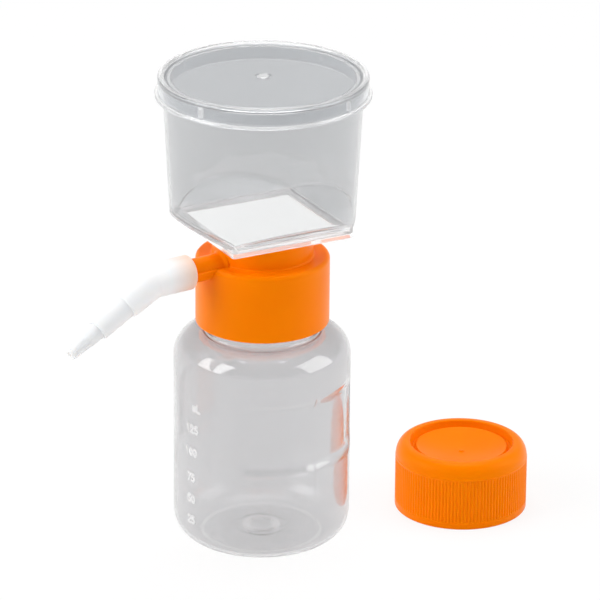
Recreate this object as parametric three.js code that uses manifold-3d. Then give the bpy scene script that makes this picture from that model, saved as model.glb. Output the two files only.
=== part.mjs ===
// Disposable vacuum filtration unit.
//
// A clear funnel with a lid stands on a square membrane tray.  An orange adapter with a side arm carries
// the tray and screws onto a clear storage bottle, and a stepped hose connector is pushed onto the arm.
// The bottle's own storage cap stands beside it.
//
// Millimetres, +Z up.  The origin is on the bottle's axis at bench height, and the arm points along -X.

import * as THREE from 'three';
import { mergeVertices } from 'three/addons/utils/BufferGeometryUtils.js';
import Module from 'manifold-3d';

const wasm = await Module();
wasm.setup();

// ---- Driving dimensions ------------------------------------------------------------------------------

const SEAT_GAP = 0.3; // between two pieces that rest on or in one another

// Bottle
const BOTTLE_R = 31.6;
const BOTTLE_WALL = 1.3;
const SHOULDER_TOP = 78.7; // height at which the neck starts
const SHOULDER_ROUND = 9.5;
const HEEL_ROUND = 9.9;
const FOOT_WIDTH = 2; // flat ring that the bottle stands on
const BASE_RISE = 1; // how far the base's middle is off the bench
const BASE_MIDDLE = 2.4; // thickness at the middle of the base
const BASE_FLAT_R = 9; // flat middle of the base
const GRIP_FROM_SHOULDER = 9; // below the height at which the wall starts to round over
const GRIP_HEIGHT = 24.5;
const GRIP_DEPTH = 1.8;
const GRIP_SPAN = 108; // degrees round the body
const GRIP_AZIMUTH = -86; // degrees, middle of the first grip; the second is opposite
const GRIP_RAMP = 1.6; // height over which the wall steps in
const GRIP_RAMP_SPAN = 5; // degrees over which the wall steps in
const NECK_R = 20.4;
const NECK_WALL = 1.5;
const NECK_HEIGHT = 23.2;
const THREAD_HEIGHT = 1.1; // of the neck's thread, whose crest the adapter and the cap clear
const THREAD_CLEARANCE = 0.4;

// Seal washer between the bottle's lip and the adapter
const WASHER_T = 1;
const WASHER_LAP = 1; // inwards past the neck's bore

// Adapter
const ADAPTER_WALL = 1.9;
const SKIRT_CLEARANCE = 3.6; // from the bottle's shoulder up to the skirt's lower edge
const WEB_T = 3.8; // ledge to the face that presses on the washer
const LEDGE_ROUND = 1.5;
const BOSS_HEIGHT = 9.6;
const BOSS_WALL = 1.8;
const BOSS_ROUND = 0.8;
const SLEEVE_DROP = 3.5; // the boss wall's length below the washer face, inside the neck
const SLEEVE_WALL = 1.3;
const SLEEVE_CLEARANCE = 1.4; // inside the neck's bore
const ARM_R = 4.35;
const ARM_BORE_R = 2.1;
const ARM_DROP = 0.5; // arm's axis below the ledge
const ARM_LENGTH = 16.1; // beyond the skirt's outside
const ARM_RIB_PROUD = 0.7;
const ARM_RIB_T = 1;

// Hose connector
const CONNECTOR_GRIP = 8.9; // length of arm inside the connector
const CONNECTOR_LEG = 15.2; // mouth to the bend
const CONNECTOR_BEND = 31; // degrees, downwards
const CONNECTOR_WALL = 1.55;
const CONNECTOR_STEPS = [
  // distance from the bend, radius at the start and at the end, radius of the bore at each
  { from: 0, to: 13.2, start: 6.2, end: 5.3, bore: [3.4, 3.1] },
  { from: 13.2, to: 26.3, start: 4.65, end: 4.1, bore: [3.1, 2.8] },
  { from: 26.3, to: 39.6, start: 3.4, end: 2.15, bore: [2.2, 1.3] },
];

// Square tray: base plate, membrane and funnel flange
const TRAY_MARGIN = 2.75; // beyond each edge of the membrane
const TRAY_CORNER = 1.2;
const TRAY_TURN = -6.5; // degrees, the tray's sides against the arm
const PLATE_T = 1.8;
const POCKET_DEPTH = 0.6;
const POCKET_CLEARANCE = 0.3;
const DRAIN_LAP = 2.5; // of the membrane's edge on the pocket's floor
const DRAIN_DEPTH = 0.6;
const DRAIN_SLOTS = 9;
const DRAIN_RIB = 1.1;
const DRAIN_CROSS = 4.4;
const SPOUT_R = 4.8;
const SPOUT_BORE_R = 3.2;
const SPOUT_LENGTH = 24;
const MEMBRANE_SIDE = 42;
const MEMBRANE_T = 0.25;

// Funnel
const FLANGE_T = 1.2;
const FUNNEL_HEIGHT = 52.7; // underside of the flange to the rim
const FUNNEL_BULGE = 8.95; // of the funnel's foot beyond the middle of each side of the tray
const FUNNEL_FLARE = 2.7; // how much wider the rim is than the foot, on the radius
const FUNNEL_WALL = 1.2;
const FLOOR_SLOPE = 28; // degrees, the four floor panels
const WELL_LAP = 0.2; // the flange's lap over each edge of the membrane
const WELL_DRAFT = 0.7; // how much wider each side of the well is at its top

// Lid
const LID_CLEARANCE = 0.5;
const LID_T = 1.2;
const LID_PLUG_WALL = 1.1;
const LID_PLUG_DROP = 4.7; // below the funnel's rim
const LID_SKIRT_WALL = 1.1;
const LID_SKIRT_DROP = 5.2; // below the funnel's rim
const LID_LIP = 1.1;
const LID_LIP_T = 1.1;
const LID_BEAD = 0.7; // height of the bead round the top
const LID_RIB_AZIMUTH = 20; // degrees, the first of four centring ribs
const LID_RIB_T = 0.8;

// Storage cap
const CAP_WALL = 2.1;
const CAP_CLEARANCE = 2.8; // from the bottle's shoulder up to the cap's edge, screwed on
const CAP_TOP_T = 1.7;
const CAP_ROUND = [3.8, 5.2]; // width and height of the rounding over the side
const CAP_RIM_WIDTH = 1.4;
const CAP_GROOVE_WIDTH = 1.2;
const CAP_DISC_STEP = 1.2; // from the groove's middle in to the disc
const CAP_DISC_DROP = 1.6;
const CAP_GROOVE_DROP = 2.8;
const CAP_DISH = 2.6; // hollow of the disc
const CAP_PLUG_CLEARANCE = 1.1; // from the neck's bore in to the cap's seal ring
const CAP_PLUG_WALL = 1;
const CAP_PLUG_DROP = 4;
const CAP_AT = [74, -20.2];

// Facets round a full circle
const ROUND = 48;
const BOTTLE_ROUND = 60;
const SMALL_ROUND = 24;

// ---- Heights and widths that follow ------------------------------------------------------------------

const SHOULDER_Z = SHOULDER_TOP - SHOULDER_ROUND;
const GRIP_HIGH = SHOULDER_Z - GRIP_FROM_SHOULDER;
const GRIP_LOW = GRIP_HIGH - GRIP_HEIGHT;
const NECK_TOP = SHOULDER_TOP + NECK_HEIGHT;
const WASHER_Z = NECK_TOP + SEAT_GAP;
const WEB_Z = WASHER_Z + WASHER_T + SEAT_GAP;
const LEDGE_Z = WEB_Z + WEB_T;
const SKIRT_Z = SHOULDER_TOP + SKIRT_CLEARANCE;
const ARM_Z = LEDGE_Z - ARM_DROP;
const BOSS_Z = LEDGE_Z + BOSS_HEIGHT;
const PLATE_Z = BOSS_Z + SEAT_GAP;
const PLATE_TOP = PLATE_Z + PLATE_T;
const POCKET_Z = PLATE_TOP - POCKET_DEPTH;
const MEMBRANE_Z = POCKET_Z + SEAT_GAP;
const FLANGE_Z = PLATE_TOP + SEAT_GAP;
const FLANGE_TOP = FLANGE_Z + FLANGE_T;
const RIM_Z = FLANGE_Z + FUNNEL_HEIGHT;
const LID_Z = RIM_Z + SEAT_GAP;

const NECK_IN = NECK_R - NECK_WALL;
const BORE_R = NECK_R + THREAD_HEIGHT + THREAD_CLEARANCE;
const ADAPTER_R = BORE_R + ADAPTER_WALL;
const SLEEVE_R = NECK_IN - SLEEVE_CLEARANCE;
const BOSS_IN = SLEEVE_R - SLEEVE_WALL;
const BOSS_R = BOSS_IN + BOSS_WALL;
const ARM_REACH = ADAPTER_R + ARM_LENGTH;
const ARM_MOUTH = ARM_REACH - CONNECTOR_GRIP; // where the connector's mouth is

const TRAY_SIDE = MEMBRANE_SIDE + 2 * TRAY_MARGIN;
const DRAIN_SIDE = MEMBRANE_SIDE - 2 * DRAIN_LAP;
const FUNNEL_FOOT_R = TRAY_SIDE / 2 + FUNNEL_BULGE;
const FUNNEL_TOP_R = FUNNEL_FOOT_R + FUNNEL_FLARE;

const CAP_R = BORE_R + CAP_WALL;
const CAP_CREST_R = CAP_R - CAP_ROUND[0];
const CAP_RIM_IN = CAP_CREST_R - CAP_RIM_WIDTH;
const CAP_GROOVE_R = CAP_RIM_IN - CAP_GROOVE_WIDTH;
const CAP_DISC_R = CAP_GROOVE_R - CAP_DISC_STEP;
const CAP_PLUG_R = NECK_IN - CAP_PLUG_CLEARANCE;
const CAP_UNDER = NECK_HEIGHT - CAP_CLEARANCE;
const CAP_HEIGHT = CAP_UNDER + CAP_TOP_T + CAP_GROOVE_DROP;
const CAP_SHOULDER = CAP_HEIGHT - CAP_ROUND[1];

// ---- Shape helpers ---------------------------------------------------------------------------------

const radians = THREE.MathUtils.degToRad;

// A closed three.js geometry as a manifold solid.
function solidOf(geometry) {
  const bare = geometry.clone();
  bare.deleteAttribute('normal');
  bare.deleteAttribute('uv');
  const merged = mergeVertices(bare, 1e-4);
  const index = merged.index.array;
  const triangles = [];
  for (let i = 0; i < index.length; i += 3) {
    const [a, b, c] = [index[i], index[i + 1], index[i + 2]];
    if (a !== b && b !== c && c !== a) triangles.push(a, b, c);
  }
  return new wasm.Manifold(new wasm.Mesh({
    numProp: 3,
    vertProperties: new Float32Array(merged.attributes.position.array),
    triVerts: new Uint32Array(triangles),
  }));
}

// A named mesh from a manifold solid.
function meshOf(name, solid, material) {
  const { vertProperties, triVerts } = solid.getMesh();
  const geometry = new THREE.BufferGeometry();
  geometry.setAttribute('position', new THREE.BufferAttribute(vertProperties, 3));
  geometry.setIndex(new THREE.BufferAttribute(triVerts, 1));
  geometry.computeVertexNormals();
  const mesh = new THREE.Mesh(geometry, material);
  mesh.name = name;
  return mesh;
}

// A profile of [radius, height] points turned about Z.  It runs with the solid on its left.
function turnedGeometry(profile, segments = ROUND) {
  const points = profile.map(([r, z]) => new THREE.Vector2(r, z));
  return new THREE.LatheGeometry(points, segments).rotateX(Math.PI / 2);
}

function turned(profile, segments = ROUND) {
  return solidOf(turnedGeometry(profile, segments));
}

// Points of an arc about [r, z], from one angle to another in degrees.
function arc([r, z], radius, from, to, steps) {
  return Array.from({ length: steps + 1 }, (_, i) => {
    const a = radians(from + ((to - from) * i) / steps);
    return [r + radius * Math.cos(a), z + radius * Math.sin(a)];
  });
}

function closed(profile) {
  return [...profile, profile[0]];
}

// A square with round corners, extruded up from z.
function squareSlab(side, corner, z, height) {
  const h = side / 2;
  const c = h - corner;
  const shape = new THREE.Shape();
  shape.moveTo(-c, -h);
  shape.absarc(c, -c, corner, -Math.PI / 2, 0, false);
  shape.absarc(c, c, corner, 0, Math.PI / 2, false);
  shape.absarc(-c, c, corner, Math.PI / 2, Math.PI, false);
  shape.absarc(-c, -c, corner, Math.PI, Math.PI * 1.5, false);
  const options = { depth: height, bevelEnabled: false, curveSegments: 3 };
  return solidOf(new THREE.ExtrudeGeometry(shape, options).translate(0, 0, z));
}

// A square frustum with its sides along X and Y.
function squareFrustum(sideLow, sideHigh, z, height) {
  const frustum = new THREE.CylinderGeometry(sideHigh / Math.SQRT2, sideLow / Math.SQRT2, height, 4);
  frustum.rotateY(Math.PI / 4).rotateX(Math.PI / 2).translate(0, 0, z + height / 2);
  return solidOf(frustum);
}

function block([x0, x1], [y0, y1], [z0, z1]) {
  const box = new THREE.BoxGeometry(x1 - x0, y1 - y0, z1 - z0);
  return solidOf(box.translate((x0 + x1) / 2, (y0 + y1) / 2, (z0 + z1) / 2));
}

// A rod or cone along -X at the arm's height, between two distances from the bottle's axis.
function armRod(from, to, startR, endR = startR) {
  const rod = new THREE.CylinderGeometry(endR, startR, to - from, SMALL_ROUND);
  return solidOf(rod.rotateZ(Math.PI / 2).translate(-(from + to) / 2, 0, ARM_Z));
}

function union(solids) {
  return solids.reduce((whole, piece) => whole.add(piece));
}

// ---- Materials -------------------------------------------------------------------------------------

const clearStyrene = new THREE.MeshStandardMaterial({
  color: 0xdfe3e6, roughness: 0.06, metalness: 0, transparent: true, opacity: 0.35,
});
const orangeOlefin = new THREE.MeshStandardMaterial({ color: 0xf57c00, roughness: 0.38, metalness: 0 });
const milkyOlefin = new THREE.MeshStandardMaterial({
  color: 0xf2efe9, roughness: 0.45, metalness: 0, transparent: true, opacity: 0.8,
});
const whiteMembrane = new THREE.MeshStandardMaterial({ color: 0xfbfbf9, roughness: 0.9, metalness: 0 });
const paleElastomer = new THREE.MeshStandardMaterial({ color: 0xe8e6e0, roughness: 0.7, metalness: 0 });

// ---- Bottle ----------------------------------------------------------------------------------------

// 0 outside the step and 1 inside it, with a smooth ramp between.
function step(value, edge, ramp) {
  return THREE.MathUtils.smoothstep(value, edge - ramp / 2, edge + ramp / 2);
}

// How far the wall is drawn in at an azimuth, in degrees, and a height: two grips, opposite each other.
function gripInset(azimuth, z) {
  const fromMiddle = Math.abs(THREE.MathUtils.euclideanModulo(azimuth - GRIP_AZIMUTH + 90, 180) - 90);
  const round = 1 - step(fromMiddle, GRIP_SPAN / 2, GRIP_RAMP_SPAN);
  const up = step(z, GRIP_LOW, GRIP_RAMP) * (1 - step(z, GRIP_HIGH, GRIP_RAMP));
  return GRIP_DEPTH * round * up;
}

function bottle() {
  const heelR = BOTTLE_R - HEEL_ROUND;
  const shoulderRound = Math.min(SHOULDER_ROUND, BOTTLE_R - NECK_R - 0.5);
  const shoulder = [BOTTLE_R - shoulderRound, SHOULDER_TOP - shoulderRound];
  const innerR = BOTTLE_R - BOTTLE_WALL;
  const ramps = [GRIP_LOW, GRIP_HIGH].flatMap((z) => [-0.5, 0, 0.5].map((t) => z + t * GRIP_RAMP));
  const profile = [
    [0, BASE_RISE],
    [BASE_FLAT_R, BASE_RISE],
    [heelR - FOOT_WIDTH - 1, BASE_RISE],
    [heelR - FOOT_WIDTH, 0],
    ...arc([heelR, HEEL_ROUND], HEEL_ROUND, -90, 0, 5),
    ...ramps.map((z) => [BOTTLE_R, z]),
    ...arc(shoulder, shoulderRound, 0, 85, 6),
    [NECK_R, SHOULDER_TOP + 0.4],
    [NECK_R, NECK_TOP],
    [NECK_IN, NECK_TOP],
    [NECK_IN, SHOULDER_TOP],
    ...arc(shoulder, shoulderRound - BOTTLE_WALL, 85, 0, 5),
    ...ramps.map((z) => [innerR, z]).reverse(),
    ...arc([heelR, HEEL_ROUND], HEEL_ROUND - BOTTLE_WALL, 0, -90, 5),
    [BASE_FLAT_R, BASE_RISE + BASE_MIDDLE],
    [0, BASE_RISE + BASE_MIDDLE],
  ];
  const geometry = turnedGeometry(profile, BOTTLE_ROUND);
  const position = geometry.attributes.position;
  for (let i = 0; i < position.count; i += 1) {
    const [x, y, z] = [position.getX(i), position.getY(i), position.getZ(i)];
    const r = Math.hypot(x, y);
    if (r > 0) {
      const scale = 1 - gripInset(THREE.MathUtils.radToDeg(Math.atan2(y, x)), z) / r;
      position.setXY(i, x * scale, y * scale);
    }
  }
  return meshOf('bottle', solidOf(geometry), clearStyrene);
}

// ---- Seal washer -----------------------------------------------------------------------------------

function sealWasher() {
  const outer = BORE_R - SEAT_GAP;
  const inner = NECK_IN - WASHER_LAP;
  const top = WASHER_Z + WASHER_T;
  const profile = closed([[inner, WASHER_Z], [outer, WASHER_Z], [outer, top], [inner, top]]);
  return meshOf('seal_washer', turned(profile), paleElastomer);
}

// ---- Adapter: skirt, ledge, boss and side arm in one moulding ----------------------------------------

function adapter() {
  const roof = BOSS_Z - BOSS_WALL;
  const sleeveZ = WEB_Z - SLEEVE_DROP;
  const spoutHole = SPOUT_R + SEAT_GAP;
  const body = turned(closed([
    [BORE_R, SKIRT_Z],
    [ADAPTER_R - 0.4, SKIRT_Z],
    [ADAPTER_R, SKIRT_Z + 0.4],
    ...arc([ADAPTER_R - LEDGE_ROUND, LEDGE_Z - LEDGE_ROUND], LEDGE_ROUND, 0, 90, 4),
    ...arc([BOSS_R + BOSS_ROUND, LEDGE_Z + BOSS_ROUND], BOSS_ROUND, 270, 180, 3),
    [BOSS_R, BOSS_Z],
    [spoutHole, BOSS_Z],
    [spoutHole, roof],
    [BOSS_IN, roof],
    [BOSS_IN, sleeveZ],
    [SLEEVE_R, sleeveZ],
    [SLEEVE_R, WEB_Z],
    [BORE_R, WEB_Z],
  ]));
  const ribY = ARM_R + ARM_RIB_PROUD;
  const ribX = [-ARM_MOUTH + SEAT_GAP, -BOSS_IN - 1];
  const arm = armRod(BOSS_IN + 1, ARM_REACH, ARM_R)
    .add(block(ribX, [-ribY, ribY], [ARM_Z - ARM_RIB_T / 2, ARM_Z + ARM_RIB_T / 2]));
  const inside = turned([[0, SKIRT_Z], [BORE_R, SKIRT_Z], [BORE_R, WEB_Z], [0, WEB_Z]]);
  const whole = body.add(arm.subtract(inside)).subtract(armRod(BOSS_IN - 1, ARM_REACH + 1, ARM_BORE_R));
  return meshOf('adapter', whole, orangeOlefin);
}

// ---- Hose connector --------------------------------------------------------------------------------

// A stepped cone that starts at the bend and runs down the connector's second leg.
function steppedLeg(steps) {
  const outline = steps.flatMap(({ from, to, start, end }) => [[start, from], [end, to]]);
  const last = steps[steps.length - 1].to;
  const leg = turnedGeometry([[0, steps[0].from], ...outline, [0, last]], SMALL_ROUND);
  const bendX = -(ARM_MOUTH + CONNECTOR_LEG);
  leg.rotateY(-Math.PI / 2 - radians(CONNECTOR_BEND)).translate(bendX, 0, ARM_Z);
  return solidOf(leg);
}

function ball(radius, distance) {
  return solidOf(new THREE.SphereGeometry(radius, SMALL_ROUND, 12).translate(-distance, 0, ARM_Z));
}

function hoseConnector() {
  const bend = ARM_MOUTH + CONNECTOR_LEG;
  const socketR = ARM_R + SEAT_GAP;
  const mouthR = socketR + CONNECTOR_WALL;
  const [first, , last] = CONNECTOR_STEPS;
  const [boreR] = first.bore;
  const bores = CONNECTOR_STEPS.map(({ from, to, bore: [start, end] }) => ({ from, to, start, end }));
  bores[2].to = last.to + 1;
  const outside = union([armRod(ARM_MOUTH, bend, mouthR, first.start), ball(first.start, bend),
    steppedLeg(CONNECTOR_STEPS)]);
  const inside = union([armRod(ARM_MOUTH - 1, ARM_REACH + SEAT_GAP, socketR), armRod(ARM_MOUTH, bend, boreR),
    ball(boreR, bend), steppedLeg(bores)]);
  return meshOf('hose_connector', outside.subtract(inside), milkyOlefin);
}

// ---- Tray: base plate with drain spout, and membrane -------------------------------------------------

function basePlate() {
  const plate = squareSlab(TRAY_SIDE, TRAY_CORNER, PLATE_Z, PLATE_T);
  const spout = turned([[0, PLATE_Z - SPOUT_LENGTH], [SPOUT_R, PLATE_Z - SPOUT_LENGTH],
    [SPOUT_R, PLATE_Z + 0.5], [0, PLATE_Z + 0.5]], SMALL_ROUND);
  const bore = turned([[0, PLATE_Z - SPOUT_LENGTH - 1], [SPOUT_BORE_R, PLATE_Z - SPOUT_LENGTH - 1],
    [SPOUT_BORE_R, PLATE_TOP + 1], [0, PLATE_TOP + 1]], SMALL_ROUND);
  const pocketSide = MEMBRANE_SIDE + 2 * POCKET_CLEARANCE;
  const pocket = squareSlab(pocketSide, TRAY_CORNER, POCKET_Z, POCKET_DEPTH + 1);
  const drainZ = [POCKET_Z - DRAIN_DEPTH, POCKET_Z + 0.1];
  const half = DRAIN_SIDE / 2;
  const pitch = (DRAIN_SIDE + DRAIN_RIB) / DRAIN_SLOTS;
  const slots = Array.from({ length: DRAIN_SLOTS }, (_, i) => {
    const x = -half + i * pitch;
    return block([x, x + pitch - DRAIN_RIB], [-half, half], drainZ);
  });
  const cross = block([-half, half], [-DRAIN_CROSS / 2, DRAIN_CROSS / 2], drainZ);
  const hollows = union([bore, pocket, cross, ...slots]);
  return meshOf('base_plate', plate.add(spout).subtract(hollows), clearStyrene);
}

function membrane() {
  const sheet = squareSlab(MEMBRANE_SIDE, TRAY_CORNER - POCKET_CLEARANCE, MEMBRANE_Z, MEMBRANE_T);
  return meshOf('membrane', sheet, whiteMembrane);
}

// ---- Funnel ----------------------------------------------------------------------------------------

// A cone from the flange to the rim, narrower than the funnel's outside by an inset.
function funnelCone(inset, low, high) {
  const rise = (FUNNEL_TOP_R - FUNNEL_FOOT_R) / FUNNEL_HEIGHT;
  const radiusAt = (z) => FUNNEL_FOOT_R + rise * (z - FLANGE_Z) - inset;
  return turned([[0, low], [radiusAt(low), low], [radiusAt(high), high], [0, high]], ROUND);
}

// The four floor panels as a frustum that widens upwards from a square, as far as the cone needs it.
function floorFrustum(side, z) {
  const height = (2 * FUNNEL_TOP_R - side / 2) * Math.tan(radians(FLOOR_SLOPE));
  return squareFrustum(side, 4 * FUNNEL_TOP_R, z, height);
}

function funnel() {
  const wellSide = MEMBRANE_SIDE - 2 * WELL_LAP;
  const wellTop = wellSide + 2 * WELL_DRAFT;
  const above = squareFrustum(4 * FUNNEL_TOP_R, 4 * FUNNEL_TOP_R, FLANGE_TOP, FUNNEL_HEIGHT * 2);
  const lift = (side, z) => above.translate(0, 0, (2 * FUNNEL_TOP_R - side / 2)
    * Math.tan(radians(FLOOR_SLOPE)) + z - FLANGE_TOP);
  const panelZ = FLANGE_Z + FLANGE_T / 2;
  const outerFloor = floorFrustum(TRAY_SIDE, panelZ).add(lift(TRAY_SIDE, panelZ));
  const innerFloor = floorFrustum(wellTop, FLANGE_TOP).add(lift(wellTop, FLANGE_TOP));
  const outside = funnelCone(0, FLANGE_Z, RIM_Z).intersect(outerFloor)
    .add(squareSlab(TRAY_SIDE, TRAY_CORNER, FLANGE_Z, FLANGE_T));
  const well = squareFrustum(wellSide - WELL_DRAFT, wellTop + WELL_DRAFT, FLANGE_Z - FLANGE_T / 2, 2 * FLANGE_T);
  const inside = funnelCone(FUNNEL_WALL, FLANGE_Z, RIM_Z + 1).intersect(innerFloor).add(well);
  return meshOf('funnel', outside.subtract(inside), clearStyrene);
}

// ---- Lid -------------------------------------------------------------------------------------------

function lid() {
  const plugOut = FUNNEL_TOP_R - FUNNEL_WALL - LID_CLEARANCE;
  const plugIn = plugOut - LID_PLUG_WALL;
  const skirtIn = FUNNEL_TOP_R + LID_CLEARANCE;
  const skirtOut = skirtIn + LID_SKIRT_WALL;
  const plugZ = RIM_Z - LID_PLUG_DROP;
  const skirtZ = RIM_Z - LID_SKIRT_DROP;
  const top = LID_Z + LID_T;
  const beadR = skirtOut - LID_SKIRT_WALL * 0.7;
  const shell = turned([
    [0, LID_Z],
    [plugIn, LID_Z],
    [plugIn, plugZ],
    [plugOut, plugZ],
    [plugOut, LID_Z],
    [skirtIn, LID_Z],
    [skirtIn, skirtZ],
    [skirtOut + LID_LIP, skirtZ],
    [skirtOut + LID_LIP, skirtZ + LID_LIP_T],
    [skirtOut, skirtZ + LID_LIP_T],
    [skirtOut, top - 0.3],
    ...arc([beadR, top], LID_BEAD, 0, 180, 4),
    [0, top],
  ]);
  const ribs = [0, 90, 180, 270].map((turn) => {
    const rib = block([skirtIn - LID_CLEARANCE / 2, skirtIn + LID_SKIRT_WALL / 2],
      [-LID_RIB_T / 2, LID_RIB_T / 2], [skirtZ + LID_LIP_T, LID_Z + LID_T / 2]);
    return rib.rotate([0, 0, LID_RIB_AZIMUTH + turn]);
  });
  return meshOf('lid', union([shell, ...ribs]), clearStyrene);
}

// ---- Storage cap -----------------------------------------------------------------------------------

function storageCap() {
  const shoulderR = CAP_HEIGHT - CAP_SHOULDER;
  const discZ = CAP_HEIGHT - CAP_DISC_DROP;
  const dishZ = (r) => discZ - CAP_DISH * (1 - (r / CAP_DISC_R) ** 2);
  const underDish = (r) => dishZ(r) - CAP_TOP_T;
  const plugIn = CAP_PLUG_R - CAP_PLUG_WALL;
  const profile = [
    [0, underDish(0)],
    [8, underDish(8)],
    [12, underDish(12)],
    [plugIn, CAP_UNDER],
    [plugIn, CAP_UNDER - CAP_PLUG_DROP],
    [CAP_PLUG_R, CAP_UNDER - CAP_PLUG_DROP],
    [CAP_PLUG_R, CAP_UNDER],
    [BORE_R, CAP_UNDER],
    [BORE_R, 0],
    [CAP_R - 0.3, 0],
    [CAP_R, 0.5],
    [CAP_R, CAP_SHOULDER],
    ...arc([0, 0], 1, 15, 90, 5).map(([c, s]) => [
      CAP_CREST_R + (CAP_R - CAP_CREST_R) * c, CAP_SHOULDER + shoulderR * s]),
    [CAP_RIM_IN, CAP_HEIGHT - 0.4],
    [CAP_GROOVE_R + 0.4, CAP_HEIGHT - CAP_GROOVE_DROP],
    [CAP_GROOVE_R - 0.4, CAP_HEIGHT - CAP_GROOVE_DROP],
    [CAP_DISC_R, discZ],
    [12, dishZ(12)],
    [8, dishZ(8)],
    [0, dishZ(0)],
  ];
  return meshOf('storage_cap', turned(profile), orangeOlefin);
}

// ---- Assembly --------------------------------------------------------------------------------------

const tray = new THREE.Group();
tray.rotation.z = radians(TRAY_TURN);
tray.add(basePlate(), membrane(), funnel());

const cap = storageCap();
cap.position.set(CAP_AT[0], CAP_AT[1], 0);

const unit = new THREE.Group();
unit.add(bottle(), sealWasher(), adapter(), hoseConnector(), tray, lid(), cap);

export default unit;
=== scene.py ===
"""Looks of a disposable vacuum filtration unit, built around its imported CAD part.

A clear funnel with a lid stands on a square membrane tray.  An orange adapter with a side arm carries the
tray and screws onto a clear bottle, a milky stepped connector sits on the arm, and the bottle's own storage
cap stands beside it.

Every piece is a surface worked out with numpy in millimetres: a profile of (radius, height) points is carried
round an axis, and the radius may change with the azimuth, for a square tray, a thread, a grip or a number.
"""

import logging
from dataclasses import dataclass, field
from enum import Enum
from math import cos, pi, radians, sin, tan
from typing import Sequence

import bpy
import numpy as np
from mathutils import Matrix, Vector


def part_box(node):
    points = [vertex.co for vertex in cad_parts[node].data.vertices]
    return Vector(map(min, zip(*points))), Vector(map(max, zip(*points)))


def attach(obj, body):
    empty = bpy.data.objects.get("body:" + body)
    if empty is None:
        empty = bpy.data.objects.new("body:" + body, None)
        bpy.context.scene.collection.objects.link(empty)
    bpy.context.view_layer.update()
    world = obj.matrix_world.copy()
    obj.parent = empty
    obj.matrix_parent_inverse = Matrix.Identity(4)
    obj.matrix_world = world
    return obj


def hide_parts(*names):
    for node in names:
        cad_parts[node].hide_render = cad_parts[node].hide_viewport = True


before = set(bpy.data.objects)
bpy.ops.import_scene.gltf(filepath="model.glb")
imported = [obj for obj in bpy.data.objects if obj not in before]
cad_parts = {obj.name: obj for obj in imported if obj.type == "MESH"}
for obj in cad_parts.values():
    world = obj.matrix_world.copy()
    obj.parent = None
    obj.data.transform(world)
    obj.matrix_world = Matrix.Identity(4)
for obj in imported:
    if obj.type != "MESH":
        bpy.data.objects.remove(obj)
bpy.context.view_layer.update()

MM = 0.001  # metres in a millimetre
SMOOTH_ANGLE = radians(38)  # edges sharper than this show as edges
LOG = logging.getLogger("filtration_unit")
FULL_TURN = 2 * pi
TINY = 1e-9  # keeps a division away from zero
ARC_SHARE = 0.96  # the most of a side that the arcs at its two ends may take
FLAT_GAP = 0.12  # millimetres from an arc's end to the point that keeps the straight stretch beside it flat
FLAT_SHARE = 0.3  # the share of a short stretch that this point may take instead
QUARTERS = (0, 90, 180, 270)  # degrees

Array = np.ndarray
Material = bpy.types.Material
Socket = bpy.types.NodeSocket
Thing = bpy.types.Object
Tree = bpy.types.NodeTree


# ---- Surfaces ----------------------------------------------------------------------------------------


class Ends(Enum):
    """How the rows of a grid end."""

    LOOP = "the last row joins the first, as on a tube with a wall"
    POLES = "the first and last rows shrink to a point each, as on a solid turned piece"


@dataclass(frozen=True)
class Surface:
    """A closed surface in millimetres, with its faces pointing out.

    Attributes:
        points: The corners, one row of x, y, z each.
        quads: Corner numbers of the four-sided faces.
        triangles: Corner numbers of the three-sided faces.
    """

    points: Array
    quads: Array
    triangles: Array

    def joined(self, other: "Surface") -> "Surface":
        """This surface and another one as a single surface."""
        shift = len(self.points)
        return Surface(
            np.concatenate([self.points, other.points]),
            np.concatenate([self.quads, other.quads + shift]),
            np.concatenate([self.triangles, other.triangles + shift]),
        )

    def moved(self, offset: Sequence[float]) -> "Surface":
        """This surface moved by an offset in millimetres."""
        return Surface(self.points + np.asarray(offset), self.quads, self.triangles)

    def turned(self, degrees: float) -> "Surface":
        """This surface turned about Z, anticlockwise seen from above."""
        turn = np.array(Matrix.Rotation(radians(degrees), 3, "Z"))
        return Surface(self.points @ turn.T, self.quads, self.triangles)

    def middles(self) -> tuple[Array, Array]:
        """The distance from Z and the height of each face's middle, four-sided faces first."""
        middles = [self.points[faces].mean(axis=1) for faces in (self.quads, self.triangles)]
        x, y, z = np.concatenate(middles).T
        return np.hypot(x, y), z


def wrapped(grid: Array, ends: Ends) -> Surface:
    """Closes a grid of points into a surface.

    Each row is a closed ring.  Rows follow one another with the solid on the left of the way they run.

    Args:
        grid: Points of shape (rows, columns, 3).
        ends: How the first and last rows are closed.

    Returns:
        The closed surface.
    """
    poles = np.empty((0, 3))
    if ends is Ends.POLES:
        poles = grid[[0, -1]].mean(axis=1)
        grid = grid[1:-1]
    rows, columns = grid.shape[:2]
    index = np.arange(rows * columns).reshape(rows, columns)
    index = np.hstack([index, index[:, :1]])
    triangles = np.empty((0, 3), int)
    if ends is Ends.LOOP:
        index = np.vstack([index, index[:1]])
    else:
        first, last = rows * columns, rows * columns + 1
        low, high = index[0], index[-1]
        fan_low = np.stack([np.full(columns, first), low[1:], low[:-1]], axis=-1)
        fan_high = np.stack([high[:-1], high[1:], np.full(columns, last)], axis=-1)
        triangles = np.concatenate([fan_low, fan_high])
    corners = [index[:-1, :-1], index[:-1, 1:], index[1:, 1:], index[1:, :-1]]
    quads = np.stack(corners, axis=-1).reshape(-1, 4)
    return Surface(np.concatenate([grid.reshape(-1, 3), poles]), quads, triangles)


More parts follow.
